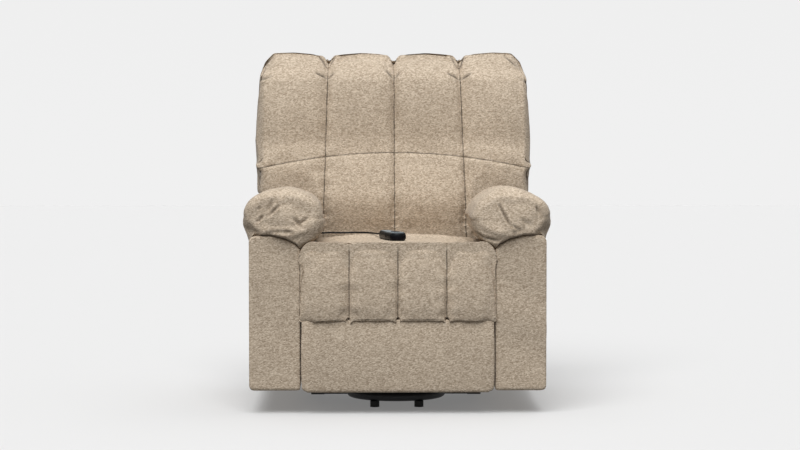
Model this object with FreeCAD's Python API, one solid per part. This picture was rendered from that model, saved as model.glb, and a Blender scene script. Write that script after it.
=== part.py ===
import FreeCAD, Part
import math
import os

# Lift recliner chair: an upholstered armchair that reclines, raises a footrest and
# tips forward on a steel base so that its user can stand up.
# X is the sitter's left and right, -Y is the front, Z is up from the floor.

os.makedirs("parts", exist_ok=True)

# Overall chair
total_height = 1054.0
seat_half_width = 280.0
arm_width = 147.5
arm_outer_x = seat_half_width + arm_width
body_clearance = 67.0
arm_front_y = -440.0
arm_rear_y = 245.0
arm_wall = 12.0
arm_top_outer_z = 519.0
arm_top_inner_z = 474.0
arm_corner_radius = 14.0

# Arm pillows
pad_outer_x = arm_outer_x + 17.0
pad_inner_x = seat_half_width - 68.0
pad_top_z = 652.0
pad_front_y = -462.0
pad_rear_y = 232.0
pad_squeeze_y = 84.0
skirt_drop = 26.0
skirt_thickness = 6.0

# Seat
seat_front_y = -418.0
seat_rear_y = 84.0
seat_crown_z = 488.0
seat_edge_drop = 14.0
seat_core_half_width = seat_half_width - 28.0
seat_bottom_z = 360.0
seat_step_z = 404.0
soft_clearance = 0.8

# Back
back_half_width = arm_outer_x + 2.5
back_waist_half_width = seat_half_width - 9.0
back_waist_z = 600.0
back_bottom_z = 404.0
back_rear_y = 470.0
back_board_y = 395.0
back_seam_x = back_half_width / 2.0 + 2.0
back_seam_depth = 24.0
back_notch_depth = 30.0
back_cross_seam_z = 735.0
back_cross_seam_drop = 53.0
back_rake = 0.27
back_rear_rake = 0.13
back_frame_thickness = 22.0
back_cover_wall = 12.0
back_face_y = 250.0
recline_pivot = (118.0, 378.0)
recline_angle = 45.0

# Footrest
foot_pad_half_width = seat_half_width + 6.0
foot_pad_tuck_half_width = seat_half_width - 30.0
foot_panel_half_width = seat_half_width - 2.0
foot_seam_z = 269.0
foot_top_z = 494.0
foot_front_y = -470.0
foot_panel_front_y = -456.0
foot_panel_bottom_z = 63.0
foot_board_half_width = seat_half_width - 8.0
foot_board_thickness = 15.0
foot_board_top_z = 398.0
foot_seam_x = foot_pad_half_width / 2.0 - 3.0
foot_seam_depth = 15.0

# Steel sections and pins
rail_size = 30.0
rail_wall = 2.0
pin_radius = 5.0
pin_clearance = 0.05
pin_head_radius = 8.5
pin_head = 1.6
plate_gap = 0.5
link_thickness = 4.0
link_width = 20.0

# Base
base_rail_half_gap = seat_half_width - 45.0
base_rail_width = 40.0
base_rail_height = 30.0
base_rail_bottom_z = 18.0
base_rail_front_y = -106.0
base_rail_rear_y = 330.0
loop_radius = 134.0
loop_centre_y = -149.0
loop_tube_radius = 13.5
foot_radius = 13.5
front_foot_x = 65.0
middle_foot_y = 110.0

# Lift linkage, as (y, z) pivots
lift_front_pivot = (-80.0, 118.0)
lift_rear_pivot = (-20.0, 128.0)
lift_front_top = (214.0, 80.0)
lift_rear_top = (330.0, 89.0)
lift_angle = 62.0
lift_open_clearance = 1.1
lift_arm_thickness = 6.0
lift_arm_width = 26.0
lift_plate_thickness = 5.0
lift_plate_x = seat_half_width - 34.0
lift_plate_gap = 2.0
torsion_tube_radius = 16.0
platform_rail_x = seat_half_width - 37.0
platform_bottom_z = 155.0
platform_front_y = -250.0
platform_rear_y = 345.0

# Footrest linkage, as (y, z) pivots and lengths along its two directions
foot_pivot = (-284.0, 330.0)
link_direction = (0.602, -0.7985)
carry_vector = (-236.0, 180.0)
second_pivot_share = 0.3
crank_length = 195.0
crank_total = 255.0
foot_angle = 84.0

# Actuators, as (y, z) pivots
lift_motor_pivot = (263.0, 48.0)
lift_lever_pin = (18.6, 202.4)
lift_stroke = 73.5
lift_motor_tilt = 8.02
foot_motor_pivot = (60.0, 282.0)
foot_lever_radius = 50.0
foot_stroke = 68.1
foot_motor_tilt = 0.35
foot_lever_angle = -48.0
actuator_tube_radius = 18.0
actuator_rod_radius = 10.0
actuator_pin_radius = 6.0
actuator_eye_thickness = 12.0
lever_gap = 1.5
lever_thickness = 6.0
motor_radius = 22.0
motor_length = 96.0
housing_half = 27.0


def vec(x, y, z):
    return FreeCAD.Vector(x, y, z)


def box(x0, x1, y0, y1, z0, z1):
    return Part.makeBox(x1 - x0, y1 - y0, z1 - z0, vec(x0, y0, z0))


def cylinder_x(centre, radius, x0, x1):
    return Part.makeCylinder(radius, x1 - x0, vec(x0, centre[0], centre[1]), vec(1, 0, 0))


def cylinder_z(x, y, radius, z0, z1):
    return Part.makeCylinder(radius, z1 - z0, vec(x, y, z0), vec(0, 0, 1))


def polygon_x(points, x0, x1):
    corners = [vec(x0, y, z) for y, z in points]
    face = Part.Face(Part.makePolygon(corners + [corners[0]]))
    return face.extrude(vec(x1 - x0, 0, 0))


def mirrored(shape):
    return shape.mirror(vec(0, 0, 0), vec(1, 0, 0))


def both_sides(shape):
    return [shape, mirrored(shape)]


def added(point, other, factor=1.0):
    return (point[0] + factor * other[0], point[1] + factor * other[1])


def distance(first, second):
    return math.hypot(second[0] - first[0], second[1] - first[1])


def fused(shapes):
    result = shapes[0].multiFuse(shapes[1:])
    return result.removeSplitter()


def save(node, shapes):
    solids = [solid for shape in shapes for solid in shape.Solids]
    target = solids[0] if len(solids) == 1 else Part.makeCompound(solids)
    if not target.isValid():
        print("not valid:", node)
    target.exportStep("parts/" + node + ".step")
    print(node, len(solids), round(target.Volume / 1000.0, 1), "cm3")


def bar_link(points, width, x0, x1, hole_radius):
    # A flat link: round ends about its pivots, straight bars between them, and its bores.
    pieces = [cylinder_x(point, width / 2.0, x0, x1) for point in points]
    for start, end in zip(points, points[1:]):
        length = distance(start, end)
        along = ((end[0] - start[0]) / length, (end[1] - start[1]) / length)
        side = (-along[1] * width / 2.0, along[0] * width / 2.0)
        corners = [added(start, side), added(end, side), added(end, side, -1.0), added(start, side, -1.0)]
        pieces.append(polygon_x(corners, x0, x1))
    body = fused(pieces)
    for point, radius in zip(points, hole_radius):
        if radius > 0.0:
            body = body.cut(cylinder_x(point, radius, x0 - 1.0, x1 + 1.0))
    return body


def pivot_pin(centre, x_fixed, x_end, radius=pin_radius):
    # A riveted pin: its shank passes through the moving link and ends in a flat head.
    direction = 1.0 if x_end > x_fixed else -1.0
    head_start = x_end + direction * plate_gap / 2.0
    head_end = head_start + direction * pin_head
    shank = cylinder_x(centre, radius, min(x_fixed, head_end), max(x_fixed, head_end))
    head = cylinder_x(centre, pin_head_radius, min(head_start, head_end), max(head_start, head_end))
    return fused([shank, head])


def square_tube_y(x, y0, y1, z0, width, height, wall):
    outer = box(x - width / 2.0, x + width / 2.0, y0, y1, z0, z0 + height)
    inner = box(x - width / 2.0 + wall, x + width / 2.0 - wall, y0 - 1.0, y1 + 1.0, z0 + wall, z0 + height - wall)
    return outer.cut(inner)


def square_tube_x(half_length, y, z0, width, height, wall):
    outer = box(-half_length, half_length, y - width / 2.0, y + width / 2.0, z0, z0 + height)
    inner = box(-half_length - 1.0, half_length + 1.0, y - width / 2.0 + wall, y + width / 2.0 - wall,
                z0 + wall, z0 + height - wall)
    return outer.cut(inner)


def base_side_rails():
    rail = square_tube_y(base_rail_half_gap, base_rail_front_y, base_rail_rear_y, base_rail_bottom_z,
                         base_rail_width, base_rail_height, rail_wall)
    return both_sides(rail)


def base_cross_tube(y):
    half_length = base_rail_half_gap - base_rail_width / 2.0
    return square_tube_x(half_length, y, base_rail_bottom_z, rail_size, base_rail_height, rail_wall)


base_front_tube_y = base_rail_front_y + rail_size / 2.0 + 10.0
base_rear_tube_y = base_rail_rear_y - rail_size / 2.0


def base_front_loop():
    # A round tube bent to a half circle in front of the front cross tube.
    tube_z = base_rail_bottom_z + loop_tube_radius
    circle = Part.Circle(vec(loop_radius, loop_centre_y, tube_z), vec(0, 1, 0), loop_tube_radius)
    section = Part.Face(Part.Wire(circle.toShape()))
    bend = section.revolve(vec(0, loop_centre_y, 0), vec(0, 0, 1), -180.0)
    leg_length = base_front_tube_y - rail_size / 2.0 - loop_centre_y
    leg = section.extrude(vec(0, leg_length, 0))
    return fused([bend, leg, mirrored(leg)])


def base_feet():
    front_y = loop_centre_y - math.sqrt(loop_radius ** 2 - front_foot_x ** 2)
    front_foot = cylinder_z(front_foot_x, front_y, foot_radius, 0.0, base_rail_bottom_z)
    feet = both_sides(front_foot)
    for y in (middle_foot_y, base_rail_rear_y - 1.2 * foot_radius):
        feet += both_sides(cylinder_z(base_rail_half_gap, y, foot_radius, 0.0, base_rail_bottom_z))
    return feet


def base_brackets():
    # Upright plates on the side rails that carry the lower pivots of both lift arms.
    foot_z = base_rail_bottom_z + base_rail_height
    x0 = lift_plate_x
    x1 = lift_plate_x + lift_plate_thickness
    reach = lift_arm_width / 2.0 + 3.0
    front = lift_front_pivot
    rear = lift_rear_pivot
    web = polygon_x([(front[0] - 26.0, foot_z), (rear[0] + 30.0, foot_z), (rear[0] + reach, rear[1]),
                     (rear[0], rear[1] + reach), (front[0], front[1] + reach), (front[0] - reach, front[1])], x0, x1)
    ends = [cylinder_x(front, reach, x0, x1), cylinder_x(rear, reach, x0, x1)]
    return both_sides(fused([web] + ends))


rear_arm_x1 = lift_plate_x - lift_plate_gap
rear_arm_x0 = rear_arm_x1 - lift_arm_thickness
front_arm_x0 = lift_plate_x + lift_plate_thickness + lift_plate_gap
front_arm_x1 = front_arm_x0 + lift_arm_thickness


def base_pivot_pins():
    front = pivot_pin(lift_front_pivot, lift_plate_x + lift_plate_thickness, front_arm_x1)
    rear = pivot_pin(lift_rear_pivot, lift_plate_x, rear_arm_x0)
    return both_sides(front) + both_sides(rear)


def rear_lift_arm():
    bore = pin_radius + pin_clearance
    return bar_link([lift_rear_pivot, lift_rear_top], lift_arm_width, rear_arm_x0, rear_arm_x1, [bore, bore])


def front_lift_arm():
    bore = pin_radius + pin_clearance
    open_bore = pin_radius + lift_open_clearance
    return bar_link([lift_front_pivot, lift_front_top], lift_arm_width, front_arm_x0, front_arm_x1,
                    [bore, open_bore])


def lift_torsion_tube():
    outer = cylinder_x(lift_rear_pivot, torsion_tube_radius, -rear_arm_x0, rear_arm_x0)
    return outer.cut(cylinder_x(lift_rear_pivot, torsion_tube_radius - 3.0, -rear_arm_x0, rear_arm_x0))


lever_inner_x = actuator_rod_radius + lever_gap
lever_outer_x = lever_inner_x + lever_thickness


def lever(pivot, tube_radius, pin_point):
    # Two plates welded round a torsion tube, joined by the pin that the actuator pushes.
    plate = bar_link([pivot, pin_point], 2.0 * (actuator_pin_radius + 6.0), lever_inner_x, lever_outer_x, [0.0, 0.0])
    plate = fused([plate, cylinder_x(pivot, tube_radius + 8.0, lever_inner_x, lever_outer_x)])
    plate = plate.cut(cylinder_x(pivot, tube_radius, lever_inner_x - 1.0, lever_outer_x + 1.0))
    pin = cylinder_x(pin_point, actuator_pin_radius, -lever_outer_x, lever_outer_x)
    return fused([plate, mirrored(plate), pin])


def platform_rail():
    return square_tube_y(platform_rail_x, platform_front_y, platform_rear_y, platform_bottom_z,
                         rail_size, rail_size, rail_wall)


def platform_cross_tube(y):
    return square_tube_x(platform_rail_x - rail_size / 2.0, y, platform_bottom_z, rail_size, rail_size, rail_wall)


def platform_ears():
    # Plates under the platform rails that hang on the upper ends of the lift arms.
    x0 = lift_plate_x
    x1 = lift_plate_x + lift_plate_thickness
    reach = lift_arm_width / 2.0 + 1.0
    ears = []
    for pivot in (lift_front_top, lift_rear_top):
        web = polygon_x([(pivot[0] - reach, pivot[1]), (pivot[0] + reach, pivot[1]),
                         (pivot[0] + reach, platform_bottom_z), (pivot[0] - 1.8 * reach, platform_bottom_z)], x0, x1)
        ears += both_sides(fused([web, cylinder_x(pivot, reach, x0, x1)]))
    return ears


def platform_pins():
    front = pivot_pin(lift_front_top, lift_plate_x + lift_plate_thickness, front_arm_x1)
    rear = pivot_pin(lift_rear_top, lift_plate_x, rear_arm_x0)
    return both_sides(front) + both_sides(rear)


def arm_brackets():
    # Angle pieces that bolt both arm boxes to the platform rails.
    x0 = platform_rail_x + rail_size / 2.0
    x1 = seat_half_width
    z0 = platform_bottom_z + 4.0
    brackets = []
    for y in (-60.0, 90.0, 290.0):
        web = box(x0, x1, y, y + 36.0, z0, z0 + 4.0)
        rail_leg = box(x0, x0 + 4.0, y, y + 36.0, z0, z0 + 20.0)
        arm_leg = box(x1 - 4.0, x1, y, y + 36.0, z0, z0 + 34.0)
        brackets += both_sides(fused([web, rail_leg, arm_leg]))
    return brackets


seat_frame_x0 = seat_half_width - 52.0
seat_frame_x1 = seat_half_width - 28.0
seat_rail_z0 = 280.0
seat_rail_z1 = 310.0
spring_rail_z1 = 352.0
spring_rail_width = 20.0
seat_front_rail_y = -412.0
seat_rear_rail_y = 82.0


def seat_posts():
    posts = []
    for y in (-225.0, 60.0):
        outer = box(seat_frame_x0, seat_frame_x1, y, y + 25.0, platform_bottom_z + rail_size, seat_rail_z0)
        inner = box(seat_frame_x0 + rail_wall, seat_frame_x1 - rail_wall, y + rail_wall, y + 25.0 - rail_wall,
                    platform_bottom_z + rail_size, seat_rail_z0)
        posts += both_sides(outer.cut(inner))
    return posts


def seat_side_rails():
    width = seat_frame_x1 - seat_frame_x0
    rail = square_tube_y((seat_frame_x0 + seat_frame_x1) / 2.0, seat_front_rail_y,
                         seat_rear_rail_y + spring_rail_width, seat_rail_z0, width, seat_rail_z1 - seat_rail_z0,
                         rail_wall)
    return both_sides(rail)


def spring_rail(y):
    return box(-seat_frame_x1, seat_frame_x1, y, y + spring_rail_width, seat_rail_z1, spring_rail_z1)


def seat_springs(count=4, turns=11, wire=4.0, half_span=42.0):
    # Flat zigzag springs strung from the front spring rail to the rear one.
    y0 = seat_front_rail_y + 3.0
    y1 = seat_rear_rail_y + spring_rail_width - 3.0
    pitch = (y1 - y0) / turns
    radius = pitch / 2.0
    springs = []
    for index in range(count):
        x = (index - (count - 1) / 2.0) * 115.0
        pieces = []
        for turn in range(turns):
            side = 1.0 if turn % 2 == 0 else -1.0
            centre = vec(x + side * (half_span - radius), y0 + (turn + 0.5) * pitch, spring_rail_z1)
            ring = Part.makeCylinder(radius + wire / 2.0, wire, centre, vec(0, 0, 1))
            ring = ring.cut(Part.makeCylinder(radius - wire / 2.0, wire, centre, vec(0, 0, 1)))
            keep_x = centre.x if side > 0 else centre.x - radius - wire
            ring = ring.common(Part.makeBox(radius + wire, pitch + 2.0 * wire, wire,
                                            vec(keep_x, centre.y - radius - wire, spring_rail_z1)))
            pieces.append(ring)
        for turn in range(turns + 1):
            y = y0 + turn * pitch
            reach = half_span - radius
            pieces.append(box(x - reach, x + reach, y - wire / 2.0, y + wire / 2.0, spring_rail_z1,
                              spring_rail_z1 + wire))
        springs.append(fused(pieces))
    return springs


mount_plate_x0 = seat_half_width - link_thickness
layer_one_x1 = mount_plate_x0 - plate_gap
layer_one_x0 = layer_one_x1 - link_thickness
layer_two_x1 = layer_one_x0 - plate_gap
layer_two_x0 = layer_two_x1 - link_thickness
layer_three_x1 = layer_two_x0 - plate_gap
layer_three_x0 = layer_three_x1 - link_thickness

second_pivot = added(foot_pivot, carry_vector, second_pivot_share)
crank_joint = added(foot_pivot, link_direction, crank_length)
crank_end = added(foot_pivot, link_direction, crank_total)
second_joint = added(crank_joint, carry_vector, second_pivot_share)
carry_end = added(crank_joint, carry_vector)
guide_end = added(crank_end, carry_vector)
running_bore = pin_radius + pin_clearance
open_bore = pin_radius + 0.3


def footrest_mount_plates():
    plate = bar_link([foot_pivot, second_pivot], 40.0, mount_plate_x0, seat_half_width, [0.0, 0.0])
    return both_sides(plate)


def footrest_mount_pins():
    pins = [pivot_pin(centre, mount_plate_x0, layer_one_x0) for centre in (foot_pivot, second_pivot)]
    return [side for pin in pins for side in both_sides(pin)]


def crank_link():
    points = [foot_pivot, crank_joint, crank_end]
    return bar_link(points, link_width, layer_one_x0, layer_one_x1, [running_bore, 0.0, 0.0])


def second_crank_link():
    return bar_link([second_pivot, second_joint], link_width, layer_one_x0, layer_one_x1, [running_bore, 0.0])


def carry_link():
    points = [crank_joint, second_joint, carry_end]
    return bar_link(points, link_width, layer_two_x0, layer_two_x1, [running_bore, open_bore, running_bore])


def guide_link():
    return bar_link([crank_end, guide_end], link_width, layer_three_x0, layer_three_x1, [running_bore, open_bore])


def flush_pin(centre):
    return cylinder_x(centre, pin_radius, layer_two_x0, layer_one_x0)


def crank_pins():
    pins = [flush_pin(crank_joint), pivot_pin(crank_end, layer_one_x0, layer_three_x0)]
    return [side for pin in pins for side in both_sides(pin)]


def footrest_pins():
    pins = [flush_pin(carry_end), pivot_pin(guide_end, layer_one_x0, layer_three_x0)]
    return [side for pin in pins for side in both_sides(pin)]


foot_tube_radius = 12.0


def footrest_drive_tube():
    tube = cylinder_x(foot_pivot, foot_tube_radius, -layer_one_x0, layer_one_x0)
    return tube.cut(cylinder_x(foot_pivot, pin_head_radius + 1.0, -layer_one_x0, layer_one_x0))


foot_lever_pin = added(foot_pivot, (math.cos(math.radians(foot_lever_angle)),
                                    math.sin(math.radians(foot_lever_angle))), foot_lever_radius)
foot_board_front_y = arm_front_y - 1.0
foot_board_rear_y = foot_board_front_y + foot_board_thickness


def footrest_bracket():
    # The end bar of the linkage, turned over into a flange that bolts to the footrest board.
    bar = bar_link([carry_end, guide_end], link_width, layer_one_x0, layer_one_x1, [0.0, 0.0])
    web = polygon_x([(foot_board_rear_y, carry_end[1] + 16.0), (carry_end[0], carry_end[1] + link_width / 2.0),
                     added(guide_end, (2.0, -8.0)), (foot_board_rear_y, guide_end[1] - 26.0)],
                    layer_one_x0, layer_one_x1)
    flange = box(layer_one_x0 - 26.0, layer_one_x1, foot_board_rear_y, foot_board_rear_y + link_thickness,
                 guide_end[1] - 26.0, carry_end[1] + 16.0)
    return both_sides(fused([bar, web, flange]))


def footrest_board():
    board = box(-foot_board_half_width, foot_board_half_width, foot_board_front_y, foot_board_rear_y,
                body_clearance + 5.0, foot_board_top_z)
    corners = [edge for edge in board.Edges
               if abs(edge.tangentAt(edge.FirstParameter).y) > 0.99]
    return board.makeFillet(18.0, corners)


def turned_to(shape, origin, target):
    # Shapes are drawn along +Y from the origin, then turned about X and moved to their pivot.
    angle = math.degrees(math.atan2(target[1] - origin[1], target[0] - origin[0]))
    turned = shape.copy()
    turned.rotate(vec(0, 0, 0), vec(1, 0, 0), angle)
    turned.translate(vec(0, origin[0], origin[1]))
    return turned


housing_start = 16.0
housing_end = 74.0
rod_start = 90.0


def actuator_housing():
    # A cast gear case with its tail lug, and the steel tube that guides the rod.
    case = box(-housing_half, housing_half, housing_start, housing_end, -housing_half, housing_half)
    edges = [edge for edge in case.Edges if abs(edge.tangentAt(edge.FirstParameter).y) > 0.99]
    case = case.makeFillet(9.0, edges)
    lug = fused([cylinder_x((0.0, 0.0), 13.0, -actuator_eye_thickness / 2.0, actuator_eye_thickness / 2.0),
                 box(-actuator_eye_thickness / 2.0, actuator_eye_thickness / 2.0, 0.0, housing_start, -13.0, 13.0)])
    body = fused([case, lug])
    return body.cut(cylinder_x((0.0, 0.0), actuator_pin_radius + pin_clearance, -10.0, 10.0))


def actuator_tube(length):
    tube = Part.makeCylinder(actuator_tube_radius, length - housing_end, vec(0, housing_end, 0), vec(0, 1, 0))
    bore = Part.makeCylinder(actuator_rod_radius + pin_clearance, length, vec(0, housing_end + 8.0, 0), vec(0, 1, 0))
    return tube.cut(bore)


def actuator_motor():
    # A round motor lying across the gear case, with a bevelled end cap.
    y = (housing_start + housing_end) / 2.0
    can = cylinder_x((y, 0.0), motor_radius, housing_half, housing_half + motor_length)
    rim = [edge for edge in can.Edges if abs(edge.BoundBox.XMin - housing_half - motor_length) < 0.01
           and edge.BoundBox.XLength < 0.01]
    return can.makeChamfer(5.0, rim)


def actuator_rod(length, play):
    # The rod's flat eye has a long window: the lever's pin swings on an arc while the rod runs straight.
    along0, along1, across0, across1 = play
    margin = actuator_pin_radius + 1.0
    half = actuator_eye_thickness / 2.0
    wall = 7.0
    window = box(-half - 1.0, half + 1.0, length + along0 - margin, length + along1 + margin,
                 across0 - margin, across1 + margin)
    eye = box(-half, half, length + along0 - margin - wall, length + along1 + margin + wall,
              across0 - margin - wall, across1 + margin + wall)
    round_edges = [edge for edge in eye.Edges if abs(edge.tangentAt(edge.FirstParameter).x) > 0.99]
    eye = eye.makeFillet(5.0, round_edges)
    rod_end = length + along0 - margin - wall + 2.0
    rod = Part.makeCylinder(actuator_rod_radius, rod_end - rod_start, vec(0, rod_start, 0), vec(0, 1, 0))
    return fused([rod, eye]).cut(window)


def clevis(pivot, corners):
    # Two cheeks and the pin on which an actuator's tail turns.
    x0 = actuator_eye_thickness / 2.0 + 1.0
    cheek = fused([polygon_x(corners, x0, x0 + 5.0), cylinder_x(pivot, 13.0, x0, x0 + 5.0)])
    pin = cylinder_x(pivot, actuator_pin_radius, -x0 - 5.0, x0 + 5.0)
    return fused([cheek, mirrored(cheek), pin])


def pin_play(motor_pivot, lever_pivot, pin_point, turn, stroke, tilt, steps=16):
    # How far the lever's pin leaves the rod's straight path, along and across the rod.
    length = distance(motor_pivot, pin_point)
    start = math.atan2(pin_point[1] - motor_pivot[1], pin_point[0] - motor_pivot[0])
    radius = distance(lever_pivot, pin_point)
    lever_start = math.atan2(pin_point[1] - lever_pivot[1], pin_point[0] - lever_pivot[0])
    along = []
    across = []
    for step in range(steps + 1):
        share = step / steps
        angle = lever_start + math.radians(turn) * share
        pin = added(lever_pivot, (math.cos(angle), math.sin(angle)), radius)
        rod = start + math.radians(tilt) * share
        offset = (pin[0] - motor_pivot[0], pin[1] - motor_pivot[1])
        along.append(offset[0] * math.cos(rod) + offset[1] * math.sin(rod) - length - stroke * share)
        across.append(offset[1] * math.cos(rod) - offset[0] * math.sin(rod))
    return min(along), max(along), min(across), max(across)


def arc(first, middle, last):
    return Part.Arc(first, middle, last).toShape()


def line(first, last):
    return Part.LineSegment(first, last).toShape()


def ruled_solid(wires):
    return Part.makeLoft(wires, True, True)


def arm_top_z(x):
    share = (x - seat_half_width) / (arm_outer_x - seat_half_width)
    return arm_top_inner_z + share * (arm_top_outer_z - arm_top_inner_z)


def arm_block(inset, y0, y1):
    x0 = seat_half_width + inset
    x1 = arm_outer_x - inset
    corners = [vec(x0, y0, body_clearance + inset), vec(x1, y0, body_clearance + inset),
               vec(x1, y0, arm_top_z(x1) - inset), vec(x0, y0, arm_top_z(x0) - inset)]
    face = Part.Face(Part.makePolygon(corners + [corners[0]]))
    return face.extrude(vec(0, y1 - y0, 0))


def arm_cover():
    # The padded cover of an arm box, closed all round its wooden frame.
    block = arm_block(0.0, arm_front_y, arm_rear_y)
    long_edges = [edge for edge in block.Edges
                  if abs(edge.tangentAt(edge.FirstParameter).y) > 0.99 and edge.BoundBox.XMin > arm_outer_x - 1.0]
    block = block.makeFillet(arm_corner_radius, long_edges)
    return block.cut(arm_block(arm_wall, arm_front_y + arm_wall, arm_rear_y - arm_wall))


def arm_frame():
    # Plywood side frames, joined by blocks, inside the arm's cover.
    thickness = 20.0
    board = 40.0
    y0 = arm_front_y + arm_wall
    y1 = arm_rear_y - arm_wall
    z0 = body_clearance + arm_wall
    z1 = arm_top_inner_z - arm_wall - 4.0
    frames = []
    for x0 in (seat_half_width + arm_wall, arm_outer_x - arm_wall - thickness):
        frames.append(box(x0, x0 + thickness, y0, y1, z0, z0 + board))
        frames.append(box(x0, x0 + thickness, y0, y1, z1 - board, z1))
        for share in (0.0, 0.5, 1.0):
            y = y0 + share * (y1 - y0 - board)
            frames.append(box(x0, x0 + thickness, y, y + board, z0, z1))
    for share in (0.0, 1.0):
        y = y0 + share * (y1 - y0 - board)
        frames.append(box(seat_half_width + arm_wall, arm_outer_x - arm_wall, y, y + board, z0, z0 + thickness))
        frames.append(box(seat_half_width + arm_wall, arm_outer_x - arm_wall, y, y + board, z1 - thickness, z1))
    return fused(frames)


def pad_section(y, across, height, anchor_x=None):
    # Cross-section of an arm pillow: it sits on the sloping arm top and rolls over the seat.
    middle_x = (pad_inner_x + pad_outer_x) / 2.0 + 8.0
    anchor_x = anchor_x or middle_x

    def place(x, z):
        placed_x = anchor_x + (x - anchor_x) * across
        rise = (z - arm_top_z(x) - soft_clearance) * height
        return vec(placed_x, y, arm_top_z(placed_x) + soft_clearance + rise)

    outer_low = place(arm_outer_x, arm_top_z(arm_outer_x) + soft_clearance)
    outer_high = place(pad_outer_x - 5.0, 592.0)
    crown = place(middle_x + 6.0, pad_top_z)
    inner_high = place(pad_inner_x + 9.0, 592.0)
    inner_low = place(seat_half_width - 18.0, 493.0)
    seat_corner = place(seat_half_width + 1.0, arm_top_z(seat_half_width + 1.0) + soft_clearance)
    return Part.Wire([arc(outer_low, place(pad_outer_x, 546.0), outer_high),
                      arc(outer_high, place(pad_outer_x - 28.5, 629.0), crown),
                      arc(crown, place(pad_inner_x + 44.0, 631.0), inner_high),
                      arc(inner_high, place(pad_inner_x + 2.0, 542.0), inner_low),
                      line(inner_low, seat_corner), line(seat_corner, outer_low)])


def arm_pad():
    # Its front end is full and round; behind the seat it is squeezed outward by the back cushion.
    front = [(0.0, 0.45, 0.42), (5.0, 0.7, 0.68), (16.0, 0.88, 0.86), (36.0, 0.98, 0.97), (60.0, 1.0, 1.0)]
    wires = [pad_section(pad_front_y + offset, across, height) for offset, across, height in front]
    anchor = pad_outer_x - 2.0
    squeezed = (anchor - back_waist_half_width - 6.0) / (anchor - pad_inner_x)
    wires.append(pad_section(pad_squeeze_y - 70.0, 0.99, 0.98, anchor))
    wires.append(pad_section(pad_squeeze_y - 25.0, 0.5 + 0.5 * squeezed, 0.97, anchor))
    wires.append(pad_section(pad_squeeze_y, squeezed, 0.96, anchor))
    tucked = (back_waist_z - 12.0 - arm_top_outer_z) / (pad_top_z - arm_top_outer_z)
    wires.append(pad_section(pad_squeeze_y + 22.0, squeezed, 0.86, anchor))
    wires.append(pad_section(pad_squeeze_y + 38.0, squeezed - 0.02, tucked, anchor))
    wires.append(pad_section(pad_rear_y - 22.0, squeezed - 0.04, 0.84 * tucked, anchor))
    wires.append(pad_section(pad_rear_y, squeezed - 0.08, 0.5 * tucked, anchor))
    return ruled_solid(wires)


def arm_skirt():
    # The flap of cover that hangs from the pillow over the arm's outer panel.
    x0 = arm_outer_x + soft_clearance
    z0 = arm_top_outer_z - skirt_drop
    return box(x0, x0 + skirt_thickness, arm_front_y + 4.0, pad_rear_y - 30.0, z0, arm_top_outer_z + 10.0)


def seat_top_z(x):
    return seat_crown_z - seat_edge_drop * (x / (seat_half_width - 7.0)) ** 2


def seat_section(y, drop, lift, inset):
    # The cushion's core stands between the seat rails, its wings lie over the side linkage.
    core = seat_core_half_width - inset
    wing = seat_half_width - soft_clearance - inset
    bottom = seat_bottom_z + lift
    step = seat_step_z + lift
    edge_top = seat_top_z(wing) - drop - 8.0
    crown = vec(0, y, seat_crown_z - drop)

    def at(x, z):
        return vec(x, y, z)

    return Part.Wire([line(at(-core, bottom), at(core, bottom)), line(at(core, bottom), at(core, step)),
                      line(at(core, step), at(wing - 4.0, step)),
                      arc(at(wing - 4.0, step), at(wing, (step + edge_top) / 2.0), at(wing - 6.0, edge_top)),
                      arc(at(wing - 6.0, edge_top), crown, at(6.0 - wing, edge_top)),
                      arc(at(6.0 - wing, edge_top), at(-wing, (step + edge_top) / 2.0), at(4.0 - wing, step)),
                      line(at(4.0 - wing, step), at(-core, step)), line(at(-core, step), at(-core, bottom))])


def seat_cushion():
    depth = seat_rear_y - seat_front_y
    stations = [(0.0, 26.0, 8.0, 8.0), (5.0, 12.0, 3.0, 3.0), (16.0, 4.0, 0.0, 0.0), (46.0, 0.0, 0.0, 0.0),
                (depth - 30.0, 0.0, 0.0, 0.0), (depth - 8.0, 6.0, 0.0, 2.0), (depth, 20.0, 6.0, 8.0)]
    wires = [seat_section(seat_front_y + offset, drop, lift, inset) for offset, drop, lift, inset in stations]
    return ruled_solid(wires)


def channel_stations(seams):
    # Places across a channelled cushion, each with its depth: 1 at a seam, 0 on a crown.
    shares = [(0.0, 1.0), (0.07, 0.55), (0.2, 0.16), (0.5, 0.0), (0.8, 0.16), (0.93, 0.55)]
    stations = []
    for start, end in zip(seams, seams[1:]):
        stations += [(start + share * (end - start), depth) for share, depth in shares]
    return stations + [(seams[-1], 1.0)]


def back_front_y(z):
    return back_face_y + back_rake * (z - 1000.0)


def back_board_plane(z):
    return back_board_y + back_rear_rake * (z - 1000.0)


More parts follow.
